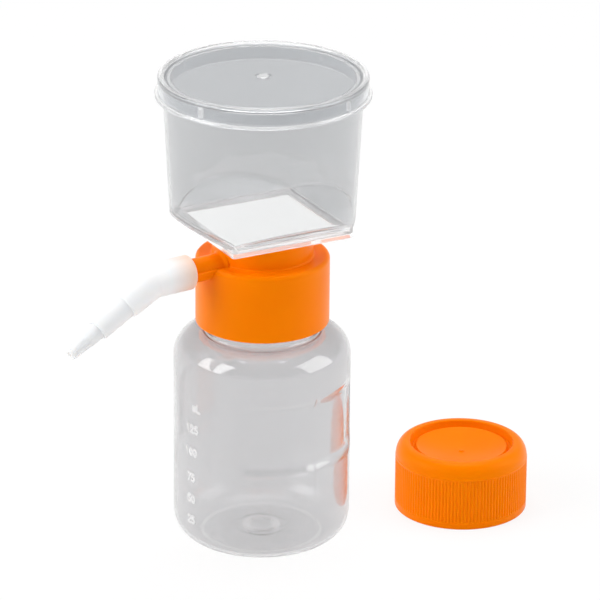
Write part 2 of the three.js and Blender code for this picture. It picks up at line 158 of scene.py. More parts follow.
def swept_round(path: Array, azimuths: Array, ends: Ends) -> Surface:
    """Turns a path about Z: x = r cos a, y = r sin a, z = height.

    Args:
        path: (radius, height) points, of shape (rows, columns, 2), or (rows, 1, 2) if alike all round.
        azimuths: The azimuth of each column, in radians.
        ends: How the path's ends are closed.

    Returns:
        The turned surface.
    """
    path = np.broadcast_to(path, (len(path), len(azimuths), 2))
    radius, height = path[..., 0], path[..., 1]
    grid = np.stack([radius * np.cos(azimuths), radius * np.sin(azimuths), height], axis=-1)
    return wrapped(grid, ends)


def ruler(low: float, high: float, step: float, *fine: tuple[float, float, float]) -> Array:
    """Values from low to high, a step apart, with finer stretches.

    Args:
        low: The first value.
        high: The last value.
        step: The usual step.
        fine: Stretches (from, to, step) with a step of their own.

    Returns:
        The values in order, with no two nearly alike.
    """
    values = np.linspace(low, high, max(2, round((high - low) / step) + 1))
    for start, stop, small in fine:
        outside = (values < start) | (values > stop)
        inner = np.linspace(start, stop, max(2, round((stop - start) / small) + 1))
        values = np.concatenate([values[outside], inner])
    values = np.unique(np.clip(values, low, high))
    return values[np.concatenate([[True], np.diff(values) > step * 0.02])]


def stretch(middle: float, half: float, step: float) -> tuple[float, float, float]:
    """A finer stretch for ruler: from half below the middle to half above it."""
    return middle - half, middle + half, step


def circle(columns: int) -> Array:
    """Evenly spaced azimuths of a full turn, in radians."""
    return np.linspace(0, FULL_TURN, columns, endpoint=False)


def smooth_step(value: Array, edge: float, ramp: float) -> Array:
    """0 before an edge and 1 after it, with a smooth ramp of the given width: 3t^2 - 2t^3."""
    t = np.clip((value - edge) / ramp + 0.5, 0, 1)
    return t * t * (3 - 2 * t)


def corner_list(*corners: tuple) -> tuple[Array, list[float]]:
    """Splits (radius, height, rounding) corners into points and roundings.

    Args:
        corners: The corners.  A radius or a height may be an array with a value for each column.

    Returns:
        The points, of shape (corners, columns, 2), and the rounding of each corner.
    """
    columns = max(np.size(value) for corner in corners for value in corner[:2])
    points = np.empty((len(corners), columns, 2))
    for row, corner in zip(points, corners):
        row[:, 0], row[:, 1] = corner[0], corner[1]
    return points, [corner[2] for corner in corners]


def rounded(*corners: tuple, closed: bool = False) -> Array:
    """A path through corners, each turned into an arc that touches both of its sides.

    With h half the angle between the sides, the arc of radius R starts R / tan h from the corner, and its
    centre lies R / sin h along their bisector.  Two arcs that would take nearly the whole side between them
    are both made smaller.  A point just outside each end of an arc keeps the shading of the straight stretch
    flat.

    Args:
        corners: (radius, height, rounding) of each corner.
        closed: True where the path joins up again.

    Returns:
        The path, of shape (rows, columns, 2).
    """
    points, roundings = corner_list(*corners)
    radius = np.array(roundings)[:, None, None]
    if not closed:
        radius[[0, -1]] = 0
    back, ahead = np.roll(points, 1, axis=0) - points, np.roll(points, -1, axis=0) - points
    side = np.linalg.norm(ahead, axis=-1, keepdims=True) + TINY
    back, ahead = back / np.roll(side, 1, axis=0), ahead / side
    half = np.arccos(np.clip((back * ahead).sum(-1, keepdims=True), -0.9999, 0.9999)) / 2
    wanted = radius / np.tan(half)
    fit = np.minimum(1, ARC_SHARE * side / (wanted + np.roll(wanted, -1, axis=0) + TINY))
    reach = wanted * np.minimum(fit, np.roll(fit, 1, axis=0))
    spare = side - reach - np.roll(reach, -1, axis=0)
    bisector = back + ahead
    bisector /= np.linalg.norm(bisector, axis=-1, keepdims=True) + TINY
    centre = bisector * reach / np.cos(half)
    rows = []
    for i, point in enumerate(points):
        if radius[i, 0, 0] == 0:
            rows.append(point[None])
            continue
        start, stop = back[i] * reach[i] - centre[i], ahead[i] * reach[i] - centre[i]
        sweep = pi - 2 * half[i]
        t = np.linspace(0, 1, max(4, round(4 + 1.3 * roundings[i])) + 1)[:, None, None]
        arc = (start * np.sin((1 - t) * sweep) + stop * np.sin(t * sweep)) / np.sin(sweep)
        rows.append((point + back[i] * (reach[i] + np.minimum(FLAT_GAP, FLAT_SHARE * spare[i - 1])))[None])
        rows.append(point + centre[i] + arc)
        rows.append((point + ahead[i] * (reach[i] + np.minimum(FLAT_GAP, FLAT_SHARE * spare[i])))[None])
    return np.concatenate(rows)


def straight(radius: float, heights: Array) -> Array:
    """An upright stretch of a path: one radius at each of the heights."""
    return np.stack([np.full(len(heights), radius), heights], axis=-1)[:, None]


def stacked(parts: Sequence[Array], columns: int) -> tuple[Array, list[slice]]:
    """Joins the parts of a path.

    Args:
        parts: The parts in order, each of shape (rows, columns, 2), or (rows, 1, 2) if alike all round.
        columns: The number of columns.

    Returns:
        The path, of shape (rows, columns, 2), and the rows that each part takes.
    """
    path = np.concatenate([np.broadcast_to(part, (len(part), columns, 2)) for part in parts])
    ends = np.cumsum([0, *(len(part) for part in parts)])
    return path, [slice(start, stop) for start, stop in zip(ends, ends[1:])]


def off_nearest(azimuths: Array, degrees: float, copies: int) -> Array:
    """The angle from each azimuth to the nearest of some evenly spaced directions.

    Args:
        azimuths: The azimuths, in radians.
        degrees: One of the directions, in degrees.
        copies: How many directions a full turn has.

    Returns:
        The angles, in radians, none of them negative.
    """
    half = pi / copies
    return np.abs(np.mod(azimuths - radians(degrees) + half, 2 * half) - half)


def square_radius(azimuths: Array, half: float, corner: float) -> Array:
    """Distance from the middle of a square to its edge, for each azimuth.

    With (a, b) the azimuth's direction folded into the first eighth of a turn, a flat side is half / a away.
    A corner arc with its centre at (m, m) is s + sqrt(s^2 - 2 m^2 + corner^2) away, with s = m (a + b).

    Args:
        azimuths: The azimuths, in radians.
        half: Half the square's side.
        corner: The radius of its corners.

    Returns:
        The distances, in the same units as half.
    """
    a = np.maximum(np.abs(np.cos(azimuths)), np.abs(np.sin(azimuths)))
    b = np.minimum(np.abs(np.cos(azimuths)), np.abs(np.sin(azimuths)))
    middle = half - corner
    along = middle * (a + b)
    arc = along + np.sqrt(np.maximum(along**2 - 2 * middle**2 + corner**2, 0))
    return np.where(half * b / a <= middle, half / a, arc)


def four_times(quarter: Array) -> Array:
    """Azimuths of a full turn, in radians, from those of a quarter, in degrees and with both of its ends."""
    return np.radians(np.concatenate([quarter[:-1] + turn for turn in QUARTERS]))


def square_azimuths(step: float, corner_step: float) -> Array:
    """Azimuths for a square with small round corners, closer together near its diagonals.

    Args:
        step: The usual step, in degrees.
        corner_step: The step within 5 degrees of a diagonal.

    Returns:
        The azimuths, in radians.
    """
    return four_times(ruler(0, 90, step, stretch(45, 5, corner_step)))


def cad_box(node: str) -> tuple[Array, Array]:
    """The lowest and highest corners of a CAD node, in millimetres."""
    low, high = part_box(node)
    return np.array(low) / MM, np.array(high) / MM


# ---- Finishes ----------------------------------------------------------------------------------------


def linear(colour: str, alpha: float = 1.0) -> tuple[float, float, float, float]:
    """Turns an sRGB hex colour into linear light.

    Args:
        colour: The colour, such as #FF8000.
        alpha: Its opacity.

    Returns:
        Linear red, green and blue, and alpha.
    """
    parts = np.array([int(colour[i : i + 2], 16) / 255 for i in (1, 3, 5)])
    low, high = parts / 12.92, ((parts + 0.055) / 1.055) ** 2.4
    return (*np.where(parts <= 0.04045, low, high).tolist(), alpha)


def add_node(tree: Tree, kind: str, inputs: dict | None = None, **settings) -> bpy.types.Node:
    """Adds a node with its settings and links.

    Args:
        tree: The node tree that takes the node.
        kind: The node's type, such as ShaderNodeBump.
        inputs: Values of the node's inputs, by name or number.  A socket is linked, anything else is set.
        settings: The node's own properties.

    Returns:
        The new node.
    """
    node = tree.nodes.new(kind)
    for name, value in settings.items():
        setattr(node, name, value)
    for name, value in (inputs or {}).items():
        if isinstance(value, Socket):
            tree.links.new(value, node.inputs[name])
        else:
            node.inputs[name].default_value = value
    return node


def per_metre(size_mm: float) -> float:
    """The Scale of a noise whose features are this many millimetres across."""
    return 1 / (size_mm * MM)


@dataclass(frozen=True)
class Finish:
    """What every finish has: a name, and a bump from a fine noise on Object coordinates.

    Attributes:
        name: The material's name.
        grain_mm: The width of the surface's unevenness.
        grain_depth_mm: Its height.
    """

    name: str
    grain_mm: float
    grain_depth_mm: float

    def material(self) -> Material:
        """The finish as a Blender material."""
        material = bpy.data.materials.new(self.name)
        material.use_nodes = True
        tree = material.node_tree
        tree.nodes.clear()
        place = add_node(tree, "ShaderNodeTexCoord").outputs["Object"]
        noise = self.noise(tree, place, self.grain_mm)
        bump = add_node(
            tree,
            "ShaderNodeBump",
            {"Height": noise, "Distance": self.grain_depth_mm * MM, "Strength": 1.0},
        )
        self.dress(tree, place, bump.outputs["Normal"])
        return material

    def noise(self, tree: Tree, place: Socket, size_mm: float) -> Socket:
        """A soft noise.

        Args:
            tree: The material's node tree.
            place: Object coordinates.
            size_mm: The width of its features.

        Returns:
            The noise, from 0 to 1.
        """
        node = add_node(
            tree,
            "ShaderNodeTexNoise",
            {"Vector": place, "Scale": per_metre(size_mm), "Detail": 3.0, "Roughness": 0.5},
        )
        return node.outputs["Fac"]

    def dress(self, tree: Tree, place: Socket, normal: Socket) -> None:
        """Adds the finish's shader and links it to the output.

        Args:
            tree: The material's node tree.
            place: Object coordinates.
            normal: The bumped normal.
        """
        raise NotImplementedError


@dataclass(frozen=True)
class ClearPolystyrene(Finish):
    """Clear general-purpose polystyrene, moulded against polished steel.

    It is glassy, a little grey and slightly hazy, and long flow ripples bend what is seen through it.  Lamps
    reach what is behind its thin walls, so it throws only a faint shadow.

    Attributes:
        tint: The colour that one wall leaves of white.
        roughness: How far it blurs.
        ior: Its refractive index.
        haze: The share of light that it scatters.
    """

    tint: str = "#D9DADB"
    roughness: float = 0.03
    ior: float = 1.59
    haze: float = 0.07

    def dress(self, tree: Tree, place: Socket, normal: Socket) -> None:
        """Glass for what the camera sees, and a plain see-through pane for lamps and scattered light.

        Args:
            tree: The material's node tree.
            place: Object coordinates; not used.
            normal: The bumped normal.
        """
        glass = add_node(
            tree,
            "ShaderNodeBsdfPrincipled",
            {
                "Base Color": linear(self.tint),
                "Roughness": self.roughness,
                "IOR": self.ior,
                "Transmission Weight": 1 - self.haze,
                "Normal": normal,
            },
        )
        pane = add_node(tree, "ShaderNodeBsdfTransparent", {"Color": linear("#FFFFFF")})
        path = add_node(tree, "ShaderNodeLightPath")
        scattered = add_node(
            tree,
            "ShaderNodeMixShader",
            {0: path.outputs["Is Diffuse Ray"], 1: glass.outputs[0], 2: pane.outputs[0]},
        )
        lamps = add_node(
            tree,
            "ShaderNodeMixShader",
            {0: path.outputs["Is Shadow Ray"], 1: scattered.outputs[0], 2: pane.outputs[0]},
        )
        add_node(tree, "ShaderNodeOutputMaterial", {"Surface": lamps.outputs[0]})


@dataclass(frozen=True)
class OrangePolyethylene(Finish):
    """Orange high-density polyethylene, injection moulded: opaque, waxy, with a satin gloss.

    Light spreads a little under its surface, which keeps its shaded sides a warm red-orange.

    Attributes:
        colour: Its colour.
        deep_colour: The colour that it drifts to along the flow of the moulding.
        ior: Its refractive index.
        flow_mm: The width of the drift.
        gloss: The roughness at one end of the drift and at the other.
    """

    colour: str = "#F88200"
    deep_colour: str = "#F27900"
    ior: float = 1.54
    flow_mm: float = 18.0
    gloss: tuple[float, float] = (0.3, 0.42)

    def dress(self, tree: Tree, place: Socket, normal: Socket) -> None:
        """A satin shader whose colour drifts slightly along the flow of the moulding.

        Args:
            tree: The material's node tree.
            place: Object coordinates.
            normal: The bumped normal.
        """
        flow = self.noise(tree, place, self.flow_mm)
        smooth, dull = self.gloss
        colour = add_node(
            tree,
            "ShaderNodeMix",
            {"Factor": flow, "A": linear(self.colour), "B": linear(self.deep_colour)},
            data_type="RGBA",
        )
        gloss = add_node(tree, "ShaderNodeMapRange", {"Value": flow, "To Min": smooth, "To Max": dull})
        shader = add_node(
            tree,
            "ShaderNodeBsdfPrincipled",
            {
                "Base Color": colour.outputs["Result"],
                "Roughness": gloss.outputs["Result"],
                "IOR": self.ior,
                "Specular IOR Level": 0.14,
                "Specular Tint": linear("#FFA848"),
                "Subsurface Weight": 0.15,
                "Subsurface Radius": (1.0, 0.2, 0.02),
                "Subsurface Scale": 0.002,
                "Normal": normal,
            },
        )
        add_node(tree, "ShaderNodeOutputMaterial", {"Surface": shader.outputs[0]})


@dataclass(frozen=True)
class MilkyPolyethylene(Finish):
    """Natural low-density polyethylene, injection moulded: milky, soft to the eye, and lit from within.

    Attributes:
        colour: Its own colour.
        glow: A painted orange glow, which stands in for the orange arm showing through the socket's wall.
        glow_mm: The place along X where the glow is full, and where it has faded away.
    """

    colour: str = "#FFFFFF"
    glow: str = "#FFD4C2"
    glow_mm: tuple[float, float] = (-32.5, -42.0)
    roughness: float = 0.42
    ior: float = 1.51

    def dress(self, tree: Tree, place: Socket, normal: Socket) -> None:
        """Part scatters light inside its wall, and part lets it through blurred.

        Args:
            tree: The material's node tree.
            place: Object coordinates.
            normal: The bumped normal.
        """
        # Painted glow: towards the socket the colour turns to the glow colour, which paints in the orange arm
        # seen through the wall.
        along = add_node(tree, "ShaderNodeSeparateXYZ", {0: place}).outputs["X"]
        full, faded = (mm * MM for mm in self.glow_mm)
        glow = add_node(tree, "ShaderNodeMapRange", {"Value": along, "From Min": faded, "From Max": full})
        colour = add_node(
            tree,
            "ShaderNodeMix",
            {"Factor": glow.outputs["Result"], "A": linear(self.colour), "B": linear(self.glow)},
            data_type="RGBA",
        )
        shader = add_node(
            tree,
            "ShaderNodeBsdfPrincipled",
            {
                "Base Color": colour.outputs["Result"],
                "Roughness": self.roughness,
                "IOR": self.ior,
                "Transmission Weight": 0.08,
                "Subsurface Weight": 0.6,
                "Subsurface Radius": (1.0, 0.9, 0.8),
                "Subsurface Scale": 0.004,
                "Normal": normal,
            },
        )
        add_node(tree, "ShaderNodeOutputMaterial", {"Surface": shader.outputs[0]})


@dataclass(frozen=True)
class MattFinish(Finish):
    """A plain matt surface, for the cast polymer membrane and the seal washer.

    The membrane is full of pores far too small to show, so they are drawn coarser as a faint mottle.
    """

    colour: str = "#FFFFFF"
    shade: str = "#FAFAF8"
    roughness: float = 0.9

    def dress(self, tree: Tree, place: Socket, normal: Socket) -> None:
        """A rough shader with a fine mottle.

        Args:
            tree: The material's node tree.
            place: Object coordinates.
            normal: The bumped normal.
        """
        colour = add_node(
            tree,
            "ShaderNodeMix",
            {
                "Factor": self.noise(tree, place, self.grain_mm * 2),
                "A": linear(self.colour),
                "B": linear(self.shade),
            },
            data_type="RGBA",
        )
        shader = add_node(
            tree,
            "ShaderNodeBsdfPrincipled",
            {"Base Color": colour.outputs["Result"], "Roughness": self.roughness, "Normal": normal},
        )
        add_node(tree, "ShaderNodeOutputMaterial", {"Surface": shader.outputs[0]})


def made_once(finish: Finish) -> Material:
    """A dataclass field that holds a finish's material, made when the dataclass is."""
    return field(default_factory=finish.material)


@dataclass(frozen=True)
class Finishes:
    """The unit's materials, each made once."""

    bottle: Material = made_once(
        ClearPolystyrene("blown_clear_polystyrene", 16.0, 0.12, "#E1E1E2", 0.09)
    )
    clear: Material = made_once(ClearPolystyrene("moulded_clear_polystyrene", 22.0, 0.02))
    lid: Material = made_once(
        ClearPolystyrene("lid_clear_polystyrene", 22.0, 0.02, "#E4E6E8", haze=0.1)
    )
    # Painted light: a whiter, hazier copy of the clear finish, so that the tray and the funnel's flange look
    # lighter.
    lightened_flange: Material = made_once(
        ClearPolystyrene("lightened_flange_polystyrene", 22.0, 0.02, "#FBFBFB", haze=0.24)
    )
    # Painted glow: light that runs along inside the clear walls comes out at rims, lips and raised marks, and
    # this whiter, hazier copy of the clear finish paints that glow onto those faces.
    edge: Material = made_once(
        ClearPolystyrene("painted_glow_edge_polystyrene", 3.0, 0.02, "#FFFFFF", 0.12, haze=0.28)
    )
    orange: Material = made_once(OrangePolyethylene("orange_polyethylene", 0.9, 0.006))
    milky: Material = made_once(MilkyPolyethylene("milky_polyethylene", 1.2, 0.01))
    membrane: Material = made_once(MattFinish("membrane_film", 0.35, 0.006))
    washer: Material = made_once(MattFinish("pale_elastomer", 0.5, 0.01, "#EAE7DF", "#DDD9D0", 0.65))


# ---- Pieces ------------------------------------------------------------------------------------------


def paint_faces(made: Thing, finish: Material, chosen: Array) -> None:
    """Gives some of a piece's faces a second finish.

    Args:
        made: The piece.
        finish: The finish they take.
        chosen: True for each face that takes it, in the surface's order.
    """
    made.data.materials.append(finish)
    made.data.polygons.foreach_set("material_index", chosen.astype(np.int32))


def piece(name: str, surface: Surface, finish: Material, body: str, node: str) -> Thing:
    """Makes a mesh object that stands for a CAD node.

    Args:
        name: The piece's name.
        surface: Its shape, in millimetres.
        finish: Its material.
        body: The CAD body it moves with.
        node: The CAD node that it replaces.

    Returns:
        The new object.
    """
    mesh = bpy.data.meshes.new(name)
    quads, triangles = surface.quads, surface.triangles
    corners = np.concatenate([quads.ravel(), triangles.ravel()]).astype(np.int32)
    starts = np.concatenate(
        [np.arange(len(quads)) * 4, len(quads) * 4 + np.arange(len(triangles)) * 3]
    ).astype(np.int32)
    mesh.vertices.add(len(surface.points))
    mesh.vertices.foreach_set("co", (surface.points * MM).astype(np.float32).ravel())
    mesh.loops.add(len(corners))
    mesh.loops.foreach_set("vertex_index", corners)
    mesh.polygons.add(len(starts))
    mesh.polygons.foreach_set("loop_start", starts)
    mesh.update(calc_edges=True)
    mesh.validate()
    mesh.shade_smooth()
    mesh.set_sharp_from_angle(angle=SMOOTH_ANGLE)
    mesh.materials.append(finish)
    made = bpy.data.objects.new(name, mesh)
    bpy.context.scene.collection.objects.link(made)
    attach(made, body)
    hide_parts(node)
    LOG.info("%s: %d faces, on body %s", name, len(starts), body)
    return made


@dataclass(frozen=True)
class Thread:
    """A right-handed screw thread: a ridge of trapezoid section that climbs one pitch in each turn."""

    pitch: float
    start: float
    turns: float
    depth: float
    root_width: float
    crest_width: float

    def height(self, azimuths: Array, heights: Array) -> Array:
        """How far the ridge stands out at each azimuth and height.

        The ridge's middle after t turns is at start + pitch t.  The nearest one is found by rounding, and the
        ridge fades in and out over a tenth of a turn at its ends.

        Args:
            azimuths: Azimuths, in radians.
            heights: Heights, in millimetres, in an array that broadcasts against the azimuths.

        Returns:
            The ridge's height, in millimetres.
        """
        part = np.mod(azimuths, FULL_TURN) / FULL_TURN
        turn = np.round((heights - self.start) / self.pitch - part) + part
        away = np.abs(heights - self.start - self.pitch * turn)
        flank = (self.root_width - self.crest_width) / 2
        ridge = np.clip((self.root_width / 2 - away) / flank, 0, 1)
        ends = smooth_step(turn, 0.05, 0.1) * (1 - smooth_step(turn, self.turns - 0.05, 0.1))
        return self.depth * ridge * ends


def bow(x: float, y: float, width: float, height: float, start: float, stop: float) -> Array:
    """Points of an elliptic arc about (x, y) from one angle to another, in degrees."""
    angle = np.radians(np.linspace(start, stop, 13))
    return np.stack([x + width * np.cos(angle), y + height * np.sin(angle)], axis=-1)


# Moulded characters, as strokes in a cell of height 1.
CHARACTERS: dict[str, tuple[Array, ...]] = {
    "0": (bow(0.3, 0.5, 0.25, 0.46, 0, 360),),
    "1": (np.array([(0.12, 0.76), (0.34, 0.96), (0.34, 0.04)]),),
    "2": (np.concatenate([bow(0.3, 0.7, 0.24, 0.26, 165, -35), [(0.05, 0.04), (0.56, 0.04)]]),),
    "5": (
        np.concatenate([[(0.5, 0.96), (0.12, 0.96), (0.08, 0.55)], bow(0.28, 0.32, 0.26, 0.29, 125, -150)]),
    ),
    "7": (np.array([(0.05, 0.96), (0.56, 0.96), (0.22, 0.04)]),),
    "m": (
        np.array([(0.05, 0.04), (0.05, 0.64)]),
        np.concatenate([bow(0.21, 0.46, 0.16, 0.18, 180, 0), [(0.37, 0.04)]]),
        np.concatenate([bow(0.53, 0.46, 0.16, 0.18, 180, 0), [(0.69, 0.04)]]),
    ),
    "L": (np.array([(0.08, 0.96), (0.08, 0.04), (0.5, 0.04)]),),
}


@dataclass(frozen=True)
class Graduations:
    """The numbers moulded on the bottle, which stand a little proud of its wall."""

    azimuth: float = -176.0  # degrees, the middle of the numbers
    labels: tuple[tuple[str, float, float], ...] = (  # text, height, distance to the right
        ("mL", 56.5, 3.0),
        ("125", 48.0, 0.6),
        ("100", 39.1, 0.0),
        ("75", 29.2, 0.0),
        ("50", 20.9, 0.0),
        ("25", 12.8, 0.0),
    )
    letter_height: float = 2.9
    letter_pitch: float = 2.25
    stroke: float = 0.6
    proud: float = 0.14
    reach: float = 8.0  # the most that a number reaches to either side of the middle

    def strokes(self) -> Array:
        """All strokes as straight pieces.

        Returns:
            An array of shape (pieces, 2, 2): both ends of each, as (distance round, height), in millimetres.
        """
        pieces = []
        for text, height, right in self.labels:
            for place, character in enumerate(text):
                left = right + (place - len(text) / 2) * self.letter_pitch
                corner = np.array([left, height - self.letter_height / 2])
                for stroke in CHARACTERS[character]:
                    points = corner + stroke * self.letter_height
                    pieces.append(np.stack([points[:-1], points[1:]], axis=1))
        return np.concatenate(pieces)

    def relief(self, around: Array, heights: Array) -> Array:
        """How far the numbers stand out: a round-topped ridge along each stroke.

        A point's distance to a stroke is measured to its nearest point on it.

        Args:
            around: Distances round the wall from the numbers' middle, in millimetres.
            heights: Heights, in millimetres, in an array of the same shape.

        Returns:
            The relief, in millimetres.
        """
        relief = np.zeros(around.shape)
        near = np.abs(around) < self.reach
        spots = np.stack([around[near], heights[near]], axis=-1)
        nearest = np.full(len(spots), np.inf)
        for start, stop in self.strokes():
            along = stop - start
            t = np.clip((spots - start) @ along / (along @ along), 0, 1)
            away = np.linalg.norm(spots - start - t[:, None] * along, axis=-1)
            nearest = np.minimum(nearest, away)
        relief[near] = self.proud * (1 - smooth_step(nearest, self.stroke / 2, self.stroke))
        return relief


@dataclass
class Bottle:
    """The clear storage bottle: thin wall, round shoulder and heel, two grips and a threaded neck."""

    finish: Material
    painted_glow_finish: Material
    wall: float = 1.3
    heel_round: float = 9.9
    shoulder_top: float = 78.7
    shoulder_round: float = 9.5
    foot_width: float = 2.0
    base_rise: float = 1.0
    base_middle: float = 1.8
    base_flat_r: float = 9.0
    gate_r: float = 5.4
    gate_half: float = 1.6
    gate_height: float = 0.22
    neck_r: float = 20.4
    neck_wall: float = 1.5
    grip_low: float = 35.7
    grip_high: float = 60.2
    grip_depth: float = 1.4
    grip_span: float = 106.0
    grip_azimuth: float = -86.0
    grip_ramp: float = 4.4
    grip_corner: float = 4.5
    seam_height: float = 0.12
    seam_width: float = 0.25
    thread: Thread = Thread(pitch=4.0, start=88.0, turns=2.4, depth=1.1, root_width=2.0, crest_width=1.0)
    graduations: Graduations = field(default_factory=Graduations)
    # Finer mesh: how far it reaches to either side, and its step.  The first three are in degrees.
    number_mesh: tuple[float, float] = (10, 0.4)
    seam_mesh: tuple[float, float] = (0.9, 0.3)
    grip_mesh: tuple[float, float] = (4.5, 0.9)
    ramp_mesh: tuple[float, float] = (2.4, 0.4)
    line_mesh: tuple[float, float] = (1.8, 0.24)

    def inset(self, azimuths: Array, heights: Array, radius: float) -> Array:
        """How far the wall is drawn in by the two grips.

        A grip is a rounded rectangle on the unrolled wall.  The distance to its outline, from the usual
        formula for a rounded box, drives a smooth ramp.

        Args:
            azimuths: Azimuths, in radians.
            heights: Heights, in millimetres, in an array that broadcasts against the azimuths.
            radius: The wall's radius.

        Returns:
            The inset, in millimetres.
        """
        from_middle = off_nearest(azimuths, self.grip_azimuth, 2) * radius
        from_level = np.abs(heights - (self.grip_low + self.grip_high) / 2)
        beyond_x = from_middle - radians(self.grip_span / 2) * radius + self.grip_corner
        beyond_z = from_level - (self.grip_high - self.grip_low) / 2 + self.grip_corner
        outside = np.hypot(np.maximum(beyond_x, 0), np.maximum(beyond_z, 0))
        distance = outside + np.minimum(np.maximum(beyond_x, beyond_z), 0) - self.grip_corner
        return self.grip_depth * (1 - smooth_step(distance, 0, self.grip_ramp))

    def azimuths(self) -> Array:
        """Where the columns stand: closer together at the numbers, the grips' sides and the seams.

        Returns:
            The azimuths of a full turn, in radians.
        """
        middle = self.graduations.azimuth
        stretches = [stretch(middle, *self.number_mesh)]
        for grip in (self.grip_azimuth, self.grip_azimuth + 180):
            stretches.append(stretch(grip, *self.seam_mesh))
            for side in (grip - self.grip_span / 2, grip + self.grip_span / 2):
                stretches.append(stretch(side, *self.grip_mesh))
        fine = []
        for start, stop, step in stretches:
            start, stop = (start + 180) % 360 - 180, (stop + 180) % 360 - 180
            if start < stop:
                fine.append((start, stop, step))
            else:
                fine += [(start, 180.0, step), (-180.0, stop, step)]
        return np.radians(ruler(-180, 180, 2.5, *fine)[:-1])

    def build(self) -> Thing:
        """Builds the bottle's mesh.

        Returns:
            The piece.
        """
        _, high = cad_box("bottle")
        body_r, neck_top = high[0], high[2]
        inner_r, neck_in = body_r - self.wall, self.neck_r - self.neck_wall
        ramps = [stretch(z, *self.ramp_mesh) for z in (self.grip_low, self.grip_high)]
        bands = [stretch(height, *self.line_mesh) for _, height, _ in self.graduations.labels]
        low, top = self.heel_round, self.shoulder_top - self.shoulder_round
        outer_levels = ruler(low + 0.4, top - 0.4, 1.6, *ramps, *bands)
        inner_levels = ruler(low + 0.4, top - 0.4, 2.2, *ramps)[::-1]
        foot_r = body_r - self.heel_round
        thread_low = self.shoulder_top + 1.8
        threads = ruler(thread_low, neck_top - 0.7, 0.4)
        base = rounded(
            (0, self.base_rise, 0),
            (self.base_flat_r, self.base_rise, 4.0),
            (foot_r - self.foot_width * 0.6, 0, 0.5),
            (body_r, 0, self.heel_round),
            (body_r, low + 0.3, 0),
        )
        shoulder = rounded(
            (body_r, top - 0.3, 0),
            (body_r, self.shoulder_top, self.shoulder_round),
            (self.neck_r, self.shoulder_top, 1.2),
            (self.neck_r, thread_low - 0.1, 0),
        )
        lip = rounded(
            (self.neck_r, neck_top - 0.6, 0),
            (self.neck_r, neck_top, 0.5),
            (neck_in, neck_top, 0.5),
            (neck_in, self.shoulder_top - self.wall, 1.5),
            (inner_r, self.shoulder_top - self.wall, self.shoulder_round - self.wall),
            (inner_r, top - 0.3, 0),
        )
        middle = self.base_rise + self.base_middle
        inside = rounded(
            (inner_r, low + 0.3, 0),
            (inner_r, self.wall, self.heel_round - self.wall),
            (foot_r, self.wall, 0.4),
            (self.base_flat_r, middle, 4.0),
            (self.gate_r + self.gate_half, middle, 1.2),
            (self.gate_r, middle + self.gate_height, 1.2),
            (self.gate_r - self.gate_half, middle, 1.2),
            (0, middle, 0),
        )
        outer_wall, inner_wall = straight(body_r, outer_levels), straight(inner_r, inner_levels)
        neck = straight(self.neck_r, threads)
        azimuths = self.azimuths()
        parts = [base, outer_wall, shoulder, neck, lip, inner_wall, inside]
        path, rows = stacked(parts, len(azimuths))
        outer, inner, turns = rows[1], rows[5], rows[3]
        for wall in (outer, inner):
            path[wall, :, 0] -= self.inset(azimuths, path[wall, :, 1], body_r)
        around = np.mod(azimuths - radians(self.graduations.azimuth) + pi, FULL_TURN) - pi
        heights = path[outer, :, 1]
        relief = np.zeros(path.shape[:2])
        relief[outer] = self.graduations.relief(np.broadcast_to(around * body_r, heights.shape), heights)
        path[..., 0] += relief
        seam = off_nearest(azimuths, self.grip_azimuth, 2) * body_r
        path[outer, :, 0] += self.seam_height * np.exp(-((seam / self.seam_width) ** 2))
        path[turns, :, 0] += self.thread.height(azimuths, path[turns, :, 1])
        surface = swept_round(path, azimuths, Ends.POLES)
        made = piece("bottle_shell", surface, self.finish, "bottle", "bottle")
        away, height = surface.middles()
        # Painted highlight: the gate ring's crest and the raised numbers take the pale edge finish, which
        # paints in the glow that comes out of them.
        half_height = 0.12  # takes in the ring's crest but not the base round it
        painted_glow_faces = (np.abs(away - self.gate_r) < 0.9) & (np.abs(height - middle - half_height) < half_height)
        raised = relief[1:-1].ravel()[surface.quads].mean(axis=1) > 0.3 * self.graduations.proud
        painted_glow_faces[: len(raised)] |= raised
        paint_faces(made, self.painted_glow_finish, painted_glow_faces)
        return made


@dataclass
class SealWasher:
    """The soft washer that the adapter presses onto the bottle's lip."""

    finish: Material
    inner_r: float = 17.9
    edge: float = 0.3

    def build(self) -> Thing:
        """Builds the washer's mesh, a ring with round edges.

        Returns:
            The piece.
        """
        low, high = cad_box("seal_washer")
        ring = rounded(
            (self.inner_r, low[2], self.edge),
            (high[0], low[2], self.edge),
            (high[0], high[2], self.edge),
            (self.inner_r, high[2], self.edge),
            closed=True,
        )
        surface = swept_round(ring, circle(144), Ends.LOOP)
        return piece("washer_ring", surface, self.finish, "seal_washer", "seal_washer")


